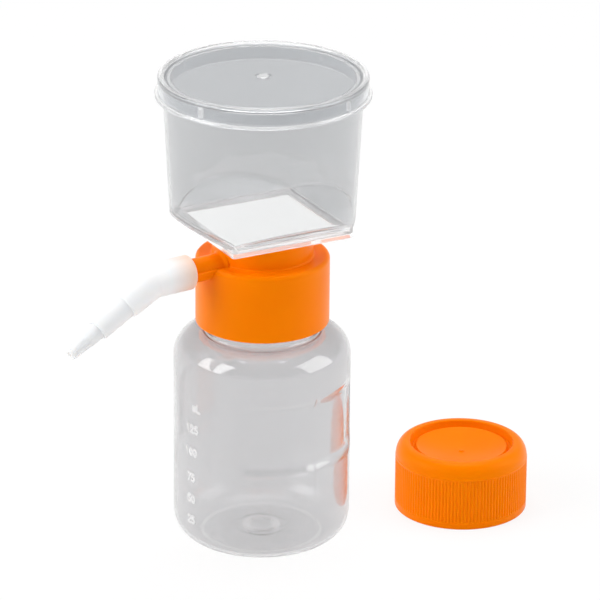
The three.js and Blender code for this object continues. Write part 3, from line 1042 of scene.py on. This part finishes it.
@dataclass
class Adapter:
    """The orange adapter: threaded skirt, ledge, hollow boss, sleeve and side arm."""

    finish: Material
    bore_r: float = 21.9
    web: float = 3.8
    boss_r: float = 18.0
    boss_height: float = 9.6
    boss_wall: float = 1.8
    sleeve_r: float = 17.5
    sleeve_drop: float = 3.5
    spout_hole_r: float = 5.1
    ledge_round: float = 1.5
    arm_r: float = 4.35
    arm_bore_r: float = 2.1
    arm_drop: float = 0.5
    rib_proud: float = 0.7
    rib_t: float = 1.0
    rib_end: float = 30.7
    thread: Thread = Thread(pitch=4.0, start=86.0, turns=2.6, depth=1.0, root_width=1.9, crest_width=0.9)

    def body_surface(self, azimuths: Array) -> Surface:
        """The turned part, from the skirt's edge over ledge and boss to the thread in its bore.

        Args:
            azimuths: The azimuth of each column, in radians.

        Returns:
            The turned part's surface.
        """
        low, high = cad_box("adapter")
        skirt_r, skirt_z, boss_top = high[0], low[2], high[2]
        ledge = boss_top - self.boss_height
        web_z = ledge - self.web
        boss_in = self.boss_r - self.boss_wall
        outside = rounded(
            (self.bore_r, skirt_z + 0.6, 0),
            (self.bore_r, skirt_z, 0.3),
            (skirt_r, skirt_z, 0.5),
            (skirt_r, ledge, self.ledge_round),
            (self.boss_r, ledge, 0.8),
            (self.boss_r, boss_top, 0.7),
            (self.spout_hole_r, boss_top, 0.3),
            (self.spout_hole_r, boss_top - self.boss_wall, 0.3),
            (boss_in, boss_top - self.boss_wall, 0.8),
            (boss_in, web_z - self.sleeve_drop, 0.3),
            (self.sleeve_r, web_z - self.sleeve_drop, 0.4),
            (self.sleeve_r, web_z, 0.3),
            (self.bore_r, web_z, 0.3),
            (self.bore_r, web_z - 0.6, 0),
        )
        bore = straight(self.bore_r, ruler(skirt_z + 0.7, web_z - 0.7, 0.3)[::-1])
        path, (_, turns) = stacked([outside, bore], len(azimuths))
        path[turns, :, 0] -= self.thread.height(azimuths, path[turns, :, 1])
        return swept_round(path, azimuths, Ends.LOOP)

    def arm_surface(self) -> Surface:
        """The side arm, with its root flared where it leaves the boss and a fine parting rib on either side.

        The section's radius is the arm's own, raised to the rib's reach wherever the rib's flat faces lie
        outside the round: rib / |sin(angle)| capped by the reach over |cos(angle)|.

        Returns:
            The arm's surface.
        """
        low, high = cad_box("adapter")
        axis_z = high[2] - self.boss_height - self.arm_drop
        reach = -low[0]
        root = self.boss_r - self.boss_wall * 0.6
        stations = rounded(
            (0, root, 0),
            (self.arm_r + 0.9, root, 0),
            (self.arm_r + 0.9, self.boss_r - 0.2, 0.4),
            (self.arm_r, self.boss_r + 1.0, 0.9),
            (self.arm_r, self.rib_end - 0.05, 0),
            (self.arm_r, self.rib_end + 0.05, 0),
            (self.arm_r, reach, 0.4),
            (self.arm_bore_r, reach, 0.3),
            (self.arm_bore_r, root + 0.8, 0),
            (0, root + 0.8, 0),
        )
        section = circle(96)
        across, up = np.abs(np.cos(section)), np.abs(np.sin(section)) + TINY
        rib = np.minimum(self.rib_t / 2 / up, (self.arm_r + self.rib_proud) / np.maximum(across, TINY))
        path = np.broadcast_to(stations, (len(stations), len(section), 2))
        radius, along = path[..., 0], path[..., 1]
        on_outside = (radius >= self.arm_r - 1e-6) & (along <= self.rib_end)
        radius = np.where(on_outside, np.maximum(radius, rib), radius)
        grid = np.stack([-along, -radius * np.cos(section), axis_z + radius * np.sin(section)], axis=-1)
        return wrapped(grid, Ends.POLES)

    def build(self) -> Thing:
        """Builds the adapter's mesh.

        Returns:
            The piece.
        """
        surface = self.body_surface(circle(180)).joined(self.arm_surface())
        return piece("adapter_body", surface, self.finish, "filter", "adapter")


@dataclass(frozen=True)
class TaperedStep:
    """One step of the connector, from its wide end to its narrow end: length, outer radii and bore radii."""

    length: float
    wide: float
    narrow: float
    bore_wide: float
    bore_narrow: float


@dataclass
class HoseConnector:
    """The milky connector: a socket on the arm, a bend, and three tapered steps for tubing."""

    finish: Material
    socket_r: float = 4.65
    socket_wall: float = 1.55
    socket_depth: float = 9.2
    bend: float = 31.0
    bend_r: float = 7.0
    first_leg: float = 15.2
    steps: tuple[TaperedStep, ...] = (
        TaperedStep(13.2, 6.2, 5.3, 3.4, 3.1),
        TaperedStep(13.1, 4.65, 4.1, 3.1, 2.8),
        TaperedStep(13.3, 3.4, 2.15, 2.2, 1.3),
    )

    def along_route(self, stations: Array, section: Array, start: Vector) -> Array:
        """Carries rings along the connector's route: straight, then an arc, then straight again.

        A ring at distance s turns with the route.  Up to the arc it faces -X, over the arc its angle grows in
        proportion to s, and after it the ring faces down the second leg.

        Args:
            stations: (radius, distance) of each ring, of shape (rows, 1, 2).
            section: The angles round a ring.
            start: The middle of the connector's mouth.

        Returns:
            A grid of points of shape (rows, columns, 3).
        """
        bend = radians(self.bend)
        tangent = self.bend_r * tan(bend / 2)
        arc_start, arc_length = self.first_leg - tangent, self.bend_r * bend
        radius, distance = stations[:, 0].T
        distance = distance + np.where(distance > self.first_leg, arc_length - 2 * tangent, 0)
        angle = np.clip((distance - arc_start) / self.bend_r, 0, bend)
        before = np.minimum(distance, arc_start)
        after = np.maximum(distance - arc_start - arc_length, 0)
        x = before + self.bend_r * np.sin(angle) + after * cos(bend)
        z = -self.bend_r * (1 - np.cos(angle)) - after * sin(bend)
        out, side = radius[:, None] * np.sin(section), radius[:, None] * np.cos(section)
        return np.stack(
            [
                start.x - (x[:, None] + out * np.sin(angle)[:, None]),
                start.y - side,
                start.z + z[:, None] + out * np.cos(angle)[:, None],
            ],
            axis=-1,
        )

    def build(self) -> Thing:
        """Builds the connector's mesh.

        Returns:
            The piece.
        """
        _, high = cad_box("hose_connector")
        mouth_r = self.socket_r + self.socket_wall
        start = Vector((high[0], 0, high[2] - mouth_r))
        first = self.steps[0]
        levels = ruler(*stretch(self.first_leg, 2.4, 0.4))
        span = [self.first_leg, self.first_leg + first.length]
        outer = [(r, s, 0) for r, s in zip(np.interp(levels, span, [first.wide, first.narrow]), levels)]
        inner = [(first.bore_wide, s, 0) for s in levels]
        outer = [(self.socket_r, 0, 0.4), (mouth_r, 0, 0.7), *outer]
        bottom = [(self.socket_r, self.socket_depth, 0.3), (first.bore_wide, self.socket_depth + 0.8, 0.5)]
        inner = [*bottom, *inner]
        distance = self.first_leg
        for step in self.steps:
            if step is not first:
                outer.append((step.wide, distance, 0.45))
                inner.append((step.bore_wide, distance, 0.2))
            distance += step.length
            outer.append((step.narrow, distance, 0.35))
            inner.append((step.bore_narrow, distance, 0.2))
        path = rounded(*outer, *inner[::-1], closed=True)
        surface = wrapped(self.along_route(path, circle(96), start), Ends.LOOP)
        node = "hose_connector"
        return piece("connector_body", surface, self.finish, node, node)


@dataclass
class Tray:
    """The square tray: base plate with drain ribs and spout, and the white membrane that lies in it."""

    clear: Material
    white: Material
    turn: float = -6.5
    half: float = 23.75
    corner: float = 1.2
    plate_t: float = 1.8
    pocket_half: float = 21.3
    pocket_depth: float = 0.6
    drain_half: float = 18.5
    drain_depth: float = 0.6
    drain_pitch: float = 4.233
    drain_rib: float = 1.1
    drain_cross: float = 4.4
    spout_r: float = 4.8
    spout_bore_r: float = 3.2
    membrane_half: float = 21.0

    def build_plate(self) -> Thing:
        """Builds the base plate: a path up the spout's bore, out over ribs and pocket, and back below.

        Returns:
            The piece.
        """
        low, high = cad_box("base_plate")
        top, spout_z = high[2], low[2]
        bottom = top - self.plate_t
        pocket_z = top - self.pocket_depth
        drain_z = pocket_z - self.drain_depth
        azimuths = square_azimuths(1.5, 0.5)
        drain = square_radius(azimuths, self.drain_half, 0.6)
        pocket = square_radius(azimuths, self.pocket_half, self.corner)
        edge = square_radius(azimuths, self.half, self.corner)
        bore = rounded(
            (self.spout_bore_r, spout_z + 1, 0),
            (self.spout_bore_r, drain_z, 0.3),
            (self.spout_bore_r + 0.5, drain_z, 0),
        )
        share = np.linspace(0.02, 0.98, 70)[:, None]
        floor_r = (self.spout_bore_r + 0.5) * (1 - share) + drain * share
        x, y = floor_r * np.cos(azimuths), floor_r * np.sin(azimuths)
        from_rib = np.abs(np.mod(x, self.drain_pitch) - self.drain_pitch / 2)
        rib = 1 - smooth_step(from_rib, self.drain_rib / 2, 0.3)
        rib = rib * smooth_step(np.abs(y), self.drain_cross / 2, 0.4)
        floor = np.stack([floor_r, drain_z + self.drain_depth * 0.95 * rib], axis=-1)
        around = rounded(
            (drain - 0.25, drain_z, 0),
            (drain, drain_z, 0.1),
            (drain, pocket_z, 0.15),
            (pocket, pocket_z, 0.1),
            (pocket, top, 0.12),
            (edge, top, 0.2),
            (edge, bottom, 0.3),
            (self.spout_r, bottom, 0.6),
            (self.spout_r, spout_z, 0.3),
            (self.spout_bore_r, spout_z, 0.3),
            (self.spout_bore_r, spout_z + 0.9, 0),
        )
        path, _ = stacked([bore, floor, around], len(azimuths))
        surface = swept_round(path, azimuths, Ends.LOOP).turned(self.turn)
        # The plate takes the whiter, hazier clear finish passed in as clear: painted light that makes it look
        # lighter.
        return piece("tray_plate", surface, self.clear, "filter", "base_plate")

    def build_membrane(self) -> Thing:
        """Builds the membrane: a thin square sheet with soft edges.

        Returns:
            The piece.
        """
        low, high = cad_box("membrane")
        azimuths = square_azimuths(3.0, 1.0)
        edge = square_radius(azimuths, self.membrane_half, 0.9)
        sheet = rounded(
            (0, low[2], 0),
            (edge, low[2], 0.08),
            (edge, high[2], 0.08),
            (0, high[2], 0),
        )
        surface = swept_round(sheet, azimuths, Ends.POLES).turned(self.turn)
        return piece("membrane_sheet", surface, self.white, "filter", "membrane")


@dataclass
class Funnel:
    """The clear funnel: a round, slightly conical wall on four sloping panels that meet a square flange."""

    finish: Material
    lightened_flange_finish: Material
    turn: float = -6.5
    foot_r: float = 32.7
    wall: float = 1.2
    flange_half: float = 23.75
    flange_corner: float = 1.2
    flange_t: float = 1.2
    well_half: float = 20.8
    well_draft: float = 0.7
    slope: float = 28.0
    crease: float = 2.4

    def meeting(self, start_r: Array, half: float, height: float, inset: float) -> tuple[Array, Array]:
        """Where a floor panel that climbs outwards from the square meets the cone.

        Along one azimuth the panel is z = height + (r / start_r - 1) half tan(slope), and the cone is
        r = foot + rise (z - base) - inset.  Both are straight, so the meeting point has a closed form.

        Args:
            start_r: Distance of the square's edge at each azimuth.
            half: Half the square's side.
            height: The panel's height at that edge.
            inset: How far the cone lies inside the funnel's outer face.

        Returns:
            The meeting point's radius and height at each azimuth.  At a corner that reaches out past the
            cone, it is where the cone meets the flange's top.
        """
        low, high = cad_box("funnel")
        rise = (self.rim_r - self.foot_r) / (high[2] - low[2])
        climb = half * tan(radians(self.slope))
        foot = self.foot_r - inset
        radius = (foot + rise * (height - low[2] - climb)) / (1 - rise * climb / start_r)
        corner = radius <= start_r + 0.02
        meeting_z = height + (radius / start_r - 1) * climb
        return (
            np.where(corner, foot + rise * self.flange_t, radius),
            np.where(corner, low[2] + self.flange_t, meeting_z),
        )

    @property
    def rim_r(self) -> float:
        """The rim's outer radius, from the CAD node, whose widest point it is."""
        low, high = cad_box("funnel")
        return float((high[0] - low[0]) / 2)

    def build(self) -> Thing:
        """Builds the funnel: the path runs up the inside, over the rim and down the outside to the flange.

        Returns:
            The piece.
        """
        low, high = cad_box("funnel")
        base, rim = low[2], high[2]
        flange_top = base + self.flange_t
        azimuths = square_azimuths(1.25, 0.4)
        well_top_half = self.well_half + self.well_draft
        well_low = square_radius(azimuths, self.well_half, 0.6)
        well_top = square_radius(azimuths, well_top_half, 0.6)
        edge = square_radius(azimuths, self.flange_half, self.flange_corner)
        inner_r, inner_z = self.meeting(well_top, well_top_half, flange_top, self.wall)
        outer_r, outer_z = self.meeting(edge, self.flange_half, base + self.flange_t / 2, 0)
        rim_in = self.rim_r - self.wall
        edge_z = np.where(outer_r < edge, flange_top, base + self.flange_t / 2)
        path = rounded(
            (edge, base, 0.25),
            (edge, edge_z, 0.2),
            (outer_r, outer_z, 0.3),
            (self.rim_r, rim, 0.3),
            (rim_in, rim, 0.3),
            (inner_r, inner_z, self.crease),
            (well_top, flange_top, 0.3),
            (well_low, base, 0.15),
            closed=True,
        )
        surface = swept_round(path, azimuths, Ends.LOOP).turned(self.turn)
        made = piece("funnel_shell", surface, self.finish, "filter", "funnel")
        _, height = surface.middles()
        # Painted light: the flange's faces take the whiter, hazier clear finish, so that they look lighter.
        paint_faces(made, self.lightened_flange_finish, height < flange_top + 0.2)
        return made


@dataclass
class Lid:
    """The clear plug-in lid: flat top in a raised bead, plug wall inside the rim and lipped skirt outside."""

    finish: Material
    painted_edge_glow_finish: Material
    rim_r: float = 35.4
    wall: float = 1.2
    clearance: float = 0.5
    top_t: float = 1.2
    plug_wall: float = 1.1
    plug_drop: float = 4.7
    skirt_wall: float = 1.1
    lip_t: float = 1.1
    bead: float = 0.7
    bead_crest: float = 1.7
    bead_foot: float = 2.1
    gate_r: float = 2.5
    rib_azimuth: float = 20.0
    rib_width: float = 1.9
    rib_height: float = 3.6
    rib_proud: float = 0.4

    def build(self) -> Thing:
        """Builds the lid's mesh.

        Returns:
            The piece.
        """
        low, high = cad_box("lid")
        bead_top, skirt_z, lip_r = high[2], low[2], high[0]
        top = bead_top - self.bead
        under = top - self.top_t
        plug_z = under - 0.3 - self.plug_drop
        plug_out = self.rim_r - self.wall - self.clearance
        plug_in = plug_out - self.plug_wall
        skirt_in = self.rim_r + self.clearance
        skirt_out = skirt_in + self.skirt_wall
        azimuths = four_times(ruler(-45, 45, 1.5, stretch(0, 2.5, 0.2)) + self.rib_azimuth)
        from_rib = off_nearest(azimuths, self.rib_azimuth, 4) * skirt_in
        rib = self.rib_proud * (1 - smooth_step(from_rib, self.rib_width / 2, 0.3))
        rib_z = under - self.rib_height
        path = rounded(
            (0, under, 0),
            (plug_in, under, 0.5),
            (plug_in, plug_z, 0.3),
            (plug_out, plug_z, 0.3),
            (plug_out, under, 0.25),
            (skirt_in - rib, under, 0.25),
            (skirt_in - rib, rib_z, 0.15),
            (skirt_in, rib_z - 0.3, 0.15),
            (skirt_in, skirt_z, 0.2),
            (lip_r, skirt_z, 0.35),
            (lip_r, skirt_z + self.lip_t, 0.35),
            (skirt_out + rib * 0.6, skirt_z + self.lip_t, 0.3),
            (skirt_out + rib * 0.6, rib_z + self.rib_height - 0.5, 0.15),
            (skirt_out, rib_z + self.rib_height - 0.2, 0.15),
            (skirt_out, bead_top, 0.8),
            (skirt_out - self.bead_crest, bead_top, 0.8),
            (skirt_out - self.bead_foot, top, 0.5),
            (self.gate_r + 0.5, top, 0.4),
            (self.gate_r, top - 0.25, 0.4),
            (self.gate_r - 0.7, top + 0.2, 0.4),
            (0, top + 0.2, 0),
        )
        surface = swept_round(path, azimuths, Ends.POLES)
        made = piece("lid_shell", surface, self.finish, "lid", "lid")
        away, height = surface.middles()
        bead = (away > skirt_out - 2.3) & (away < skirt_out - 0.3) & (height > top - 0.3)
        lip = (away > skirt_in) & (away < lip_r - 0.2) & (height < skirt_z + self.lip_t + 0.1)
        gate = (away < self.gate_r - 0.3) & (height > top + 0.1)
        plug_edge = (away < plug_out + 0.1) & (height < plug_z + 0.5)
        ribs = (away > plug_out + 0.1) & (away < skirt_in - 0.1) & (height < under - 0.1)
        # Painted highlight: the bead, lip, gate, the plug's lower edge and the ribs take the pale edge
        # finish, which paints in the glow that comes out of them.
        paint_faces(made, self.painted_edge_glow_finish, bead | lip | gate | plug_edge | ribs)
        return made


@dataclass
class StorageCap:
    """The bottle's orange cap: fine grip ribs, a rounded shoulder, a groove and a dished middle."""

    finish: Material
    rib_count: int = 120
    rib_depth: float = 0.32
    rib_low: float = 2.4
    rib_high: float = 19.2
    bore_r: float = 21.9
    shoulder_z: float = 19.7
    crest_r: float = 20.2
    rim_in: float = 18.8
    groove_r: float = 17.6
    groove_drop: float = 2.8
    disc_r: float = 16.4
    disc_drop: float = 1.6
    dish: float = 2.6
    gate_r: float = 1.1
    top_t: float = 1.7
    plug_r: float = 17.8
    plug_wall: float = 1.0
    plug_drop: float = 4.0
    thread: Thread = Thread(pitch=4.0, start=2.5, turns=2.6, depth=1.0, root_width=1.9, crest_width=0.9)

    def build(self) -> Thing:
        """Builds the cap's mesh, which stands with its open side down.

        Returns:
            The piece.
        """
        low, high = cad_box("storage_cap")
        outer_r, top = (high[0] - low[0]) / 2, high[2]
        middle = (low + high) / 2
        azimuths = circle(self.rib_count * 4)
        under = top - self.groove_drop - self.top_t
        disc_z = top - self.disc_drop
        dish_r = np.linspace(self.disc_r - 0.7, 0, 9)
        dish_z = disc_z - self.dish * (1 - (dish_r / self.disc_r) ** 2)
        dish = [(r, z, 0) for r, z in zip(dish_r, dish_z)]
        dot = dish_z[-1] + 0.5
        dish[-1:] = [(self.gate_r, dish_z[-1] + 0.02, 0.2), (self.gate_r - 0.3, dot, 0.2), (0, dot, 0)]
        sweep = np.linspace(0, pi / 2, 15)
        dome_r = self.crest_r + (outer_r - 0.12 - self.crest_r) * np.cos(sweep)
        dome = [(r, z, 0) for r, z in zip(dome_r, self.shoulder_z + (top - self.shoulder_z) * np.sin(sweep))]
        plug_in = self.plug_r - self.plug_wall
        inside = rounded(
            (0, dish_z[-1] - self.top_t, 0),
            (8, dish_z[-1] - self.top_t + 0.5, 2.0),
            (plug_in, under, 0.4),
            (plug_in, under - self.plug_drop, 0.3),
            (self.plug_r, under - self.plug_drop, 0.3),
            (self.plug_r, under, 0.4),
            (self.bore_r, under, 0.4),
            (self.bore_r, under - 0.8, 0),
        )
        bore = straight(self.bore_r, ruler(1.0, under - 0.9, 0.5)[::-1])
        foot = rounded(
            (self.bore_r, 0.9, 0),
            (self.bore_r, 0, 0.3),
            (outer_r, 0, 0.5),
            (outer_r, self.rib_low - 0.1, 0),
        )
        rib_ends = ((self.rib_low, self.rib_low + 0.6, 0.2), (self.rib_high - 0.6, self.rib_high, 0.2))
        ribs = straight(outer_r, ruler(self.rib_low, self.rib_high, 4.0, *rib_ends))
        crown = rounded(
            (outer_r, self.rib_high + 0.15, 0),
            (outer_r, self.shoulder_z - 0.15, 0.1),
            *dome,
            (self.rim_in, top, 0.5),
            (self.groove_r + 0.35, top - self.groove_drop, 0.35),
            (self.groove_r - 0.45, top - self.groove_drop, 0.3),
            (self.disc_r, disc_z, 0.3),
            *dish,
        )
        path, (_, turns, _, band, _) = stacked([inside, bore, foot, ribs, crown], len(azimuths))
        path[turns, :, 0] -= self.thread.height(azimuths, path[turns, :, 1])
        wave = np.abs(np.sin(azimuths * self.rib_count / 2))
        fade = smooth_step(path[band, :, 1], self.rib_low + 0.3, 0.6)
        fade = fade * (1 - smooth_step(path[band, :, 1], self.rib_high - 0.3, 0.6))
        path[band, :, 0] -= self.rib_depth * fade * (1 - wave)
        surface = swept_round(path, azimuths, Ends.POLES).moved((middle[0], middle[1], 0))
        return piece("cap_body", surface, self.finish, "bottle", "storage_cap")


# ---- Studio ------------------------------------------------------------------------------------------


@dataclass(frozen=True)
class SoftBox:
    """A square lamp that faces the unit.  Its place is given as seen from the camera, in metres."""

    name: str
    right: float
    away: float
    up: float
    side: float
    watts: float


@dataclass(frozen=True)
class Studio:
    """Plain pale floor, soft lamps and the camera.

    Places are given in a set of axes that faces the unit as the camera does: right, away from it, and up.
    """

    turn: float = -33.5  # degrees from +Y to the way the camera looks, seen from above
    camera_right: float = -0.0083
    camera_away: float = -1.628
    camera_up: float = 0.743
    pitch: float = 21.87
    yaw: float = 0.761
    roll: float = 0.45
    lens: float = 296.8
    aim_height: float = 0.09
    floor_half: float = 3.0
    floor_glow: float = 0.84
    room: float = 0.42
    ceiling: float = 0.3
    lamps: tuple[SoftBox, ...] = (
        SoftBox("key", -1.6, -0.5, 1.1, 1.4, 26.0),
        SoftBox("fill", 1.6, -0.2, 1.0, 1.4, 16.0),
        SoftBox("top", 0.0, 0.4, 1.9, 1.2, 16.0),
    )

    def place(self, right: float, away: float, up: float) -> Vector:
        """Turns a place seen from the camera into one in the part's frame."""
        return Matrix.Rotation(radians(self.turn), 4, "Z") @ Vector((right, away, up))

    def build(self) -> None:
        """Makes the camera, the lamps, the world and the floor."""
        self.make_camera()
        self.make_lamps()
        self.make_world()
        self.make_floor()
        bpy.context.scene.view_settings.view_transform = "Standard"

    def make_camera(self) -> None:
        """A long lens from a little above, turned so that the arm comes forward on the left."""
        data = bpy.data.cameras.new("camera")
        data.lens = self.lens
        camera = bpy.data.objects.new("camera", data)
        camera.location = self.place(self.camera_right, self.camera_away, self.camera_up)
        heading = Matrix.Rotation(radians(self.turn - self.yaw), 4, "Z")
        tilt = Matrix.Rotation(radians(90 - self.pitch), 4, "X")
        roll = Matrix.Rotation(radians(self.roll), 4, "Z")
        camera.rotation_euler = (heading @ tilt @ roll).to_euler()
        bpy.context.scene.collection.objects.link(camera)
        bpy.context.scene.camera = camera

    def make_lamps(self) -> None:
        """Square soft boxes, each turned to the unit's middle."""
        aim = Vector((0, 0, self.aim_height))
        for box in self.lamps:
            data = bpy.data.lights.new(box.name, "AREA")
            data.shape = "SQUARE"
            data.size = box.side
            data.energy = box.watts
            lamp = bpy.data.objects.new(box.name, data)
            lamp.location = self.place(box.right, box.away, box.up)
            lamp.rotation_euler = (aim - lamp.location).to_track_quat("-Z", "Y").to_euler()
            bpy.context.scene.collection.objects.link(lamp)

    def seen(self, tree: Tree) -> Socket:
        """Tells which rays show a surface as it is: straight, mirrored or through clear plastic.

        Args:
            tree: The node tree that asks.

        Returns:
            1 for such a ray, and 0 for any other.
        """
        path = add_node(tree, "ShaderNodeLightPath")
        mirrored = add_node(
            tree,
            "ShaderNodeMath",
            {0: path.outputs["Is Camera Ray"], 1: path.outputs["Is Glossy Ray"]},
            operation="MAXIMUM",
        )
        through = add_node(
            tree,
            "ShaderNodeMath",
            {0: mirrored.outputs[0], 1: path.outputs["Is Transmission Ray"]},
            operation="MAXIMUM",
        )
        return through.outputs[0]

    def make_world(self) -> None:
        """A soft grey room that shows white where it is seen, with a greyer ceiling.

        The ceiling's share grows from 0 to 1 as a direction's upward part goes from 0 to 0.4.
        """
        world = bpy.data.worlds.new("studio")
        bpy.context.scene.world = world
        world.use_nodes = True
        tree = world.node_tree
        tree.nodes.clear()
        room = add_node(tree, "ShaderNodeBackground", {"Color": linear("#FFFFFF"), "Strength": self.room})
        direction = add_node(tree, "ShaderNodeTexCoord").outputs["Generated"]
        up = add_node(tree, "ShaderNodeSeparateXYZ", {0: direction}).outputs["Z"]
        level = add_node(
            tree,
            "ShaderNodeMapRange",
            {"Value": up, "From Min": 0.0, "From Max": 0.4, "To Min": 1.0, "To Max": self.ceiling},
        )
        strength = level.outputs["Result"]
        white = add_node(tree, "ShaderNodeBackground", {"Color": linear("#FFFFFF"), "Strength": strength})
        shares = {0: self.seen(tree), 1: room.outputs[0], 2: white.outputs[0]}
        mix = add_node(tree, "ShaderNodeMixShader", shares)
        add_node(tree, "ShaderNodeOutputWorld", {"Surface": mix.outputs[0]})

    def make_floor(self) -> None:
        """A wide flat floor, white where it is seen, that keeps the unit's soft shadow."""
        half = self.floor_half
        mesh = bpy.data.meshes.new("floor")
        corners = [(-half, -half, 0), (half, -half, 0), (half, half, 0), (-half, half, 0)]
        mesh.from_pydata(corners, [], [(0, 1, 2, 3)])
        material = bpy.data.materials.new("white_sweep")
        material.use_nodes = True
        tree = material.node_tree
        tree.nodes.clear()
        cloth = add_node(tree, "ShaderNodeBsdfDiffuse", {"Color": linear("#EDEDED")})
        glow = add_node(tree, "ShaderNodeEmission", {"Color": linear("#FFFFFF"), "Strength": 1.0})
        factors = {0: self.seen(tree), 1: self.floor_glow}
        share = add_node(tree, "ShaderNodeMath", factors, operation="MULTIPLY")
        shares = {0: share.outputs[0], 1: cloth.outputs[0], 2: glow.outputs[0]}
        mix = add_node(tree, "ShaderNodeMixShader", shares)
        add_node(tree, "ShaderNodeOutputMaterial", {"Surface": mix.outputs[0]})
        mesh.materials.append(material)
        floor = bpy.data.objects.new("floor", mesh)
        bpy.context.scene.collection.objects.link(floor)


def main() -> None:
    """Builds the studio and then the unit, from the bench upwards."""
    logging.basicConfig(level=logging.INFO, format="%(name)s: %(message)s")
    Studio().build()
    finishes = Finishes()
    tray = Tray(finishes.lightened_flange, finishes.membrane)
    makers = (
        Bottle(finishes.bottle, finishes.edge).build,
        SealWasher(finishes.washer).build,
        Adapter(finishes.orange).build,
        HoseConnector(finishes.milky).build,
        tray.build_plate,
        tray.build_membrane,
        Funnel(finishes.clear, finishes.lightened_flange).build,
        Lid(finishes.lid, finishes.edge).build,
        StorageCap(finishes.orange).build,
    )
    for make in makers:
        made = make()
        LOG.info("%s is %s", made.name, [round(side / MM, 1) for side in made.dimensions])
    scene = bpy.context.scene
    scene.cycles.caustics_reflective = False
    scene.cycles.caustics_refractive = False
    scene.cycles.max_bounces = 32
    scene.cycles.transmission_bounces = 32
    scene.cycles.transparent_max_bounces = 48


if __name__ == "__main__":
    main()
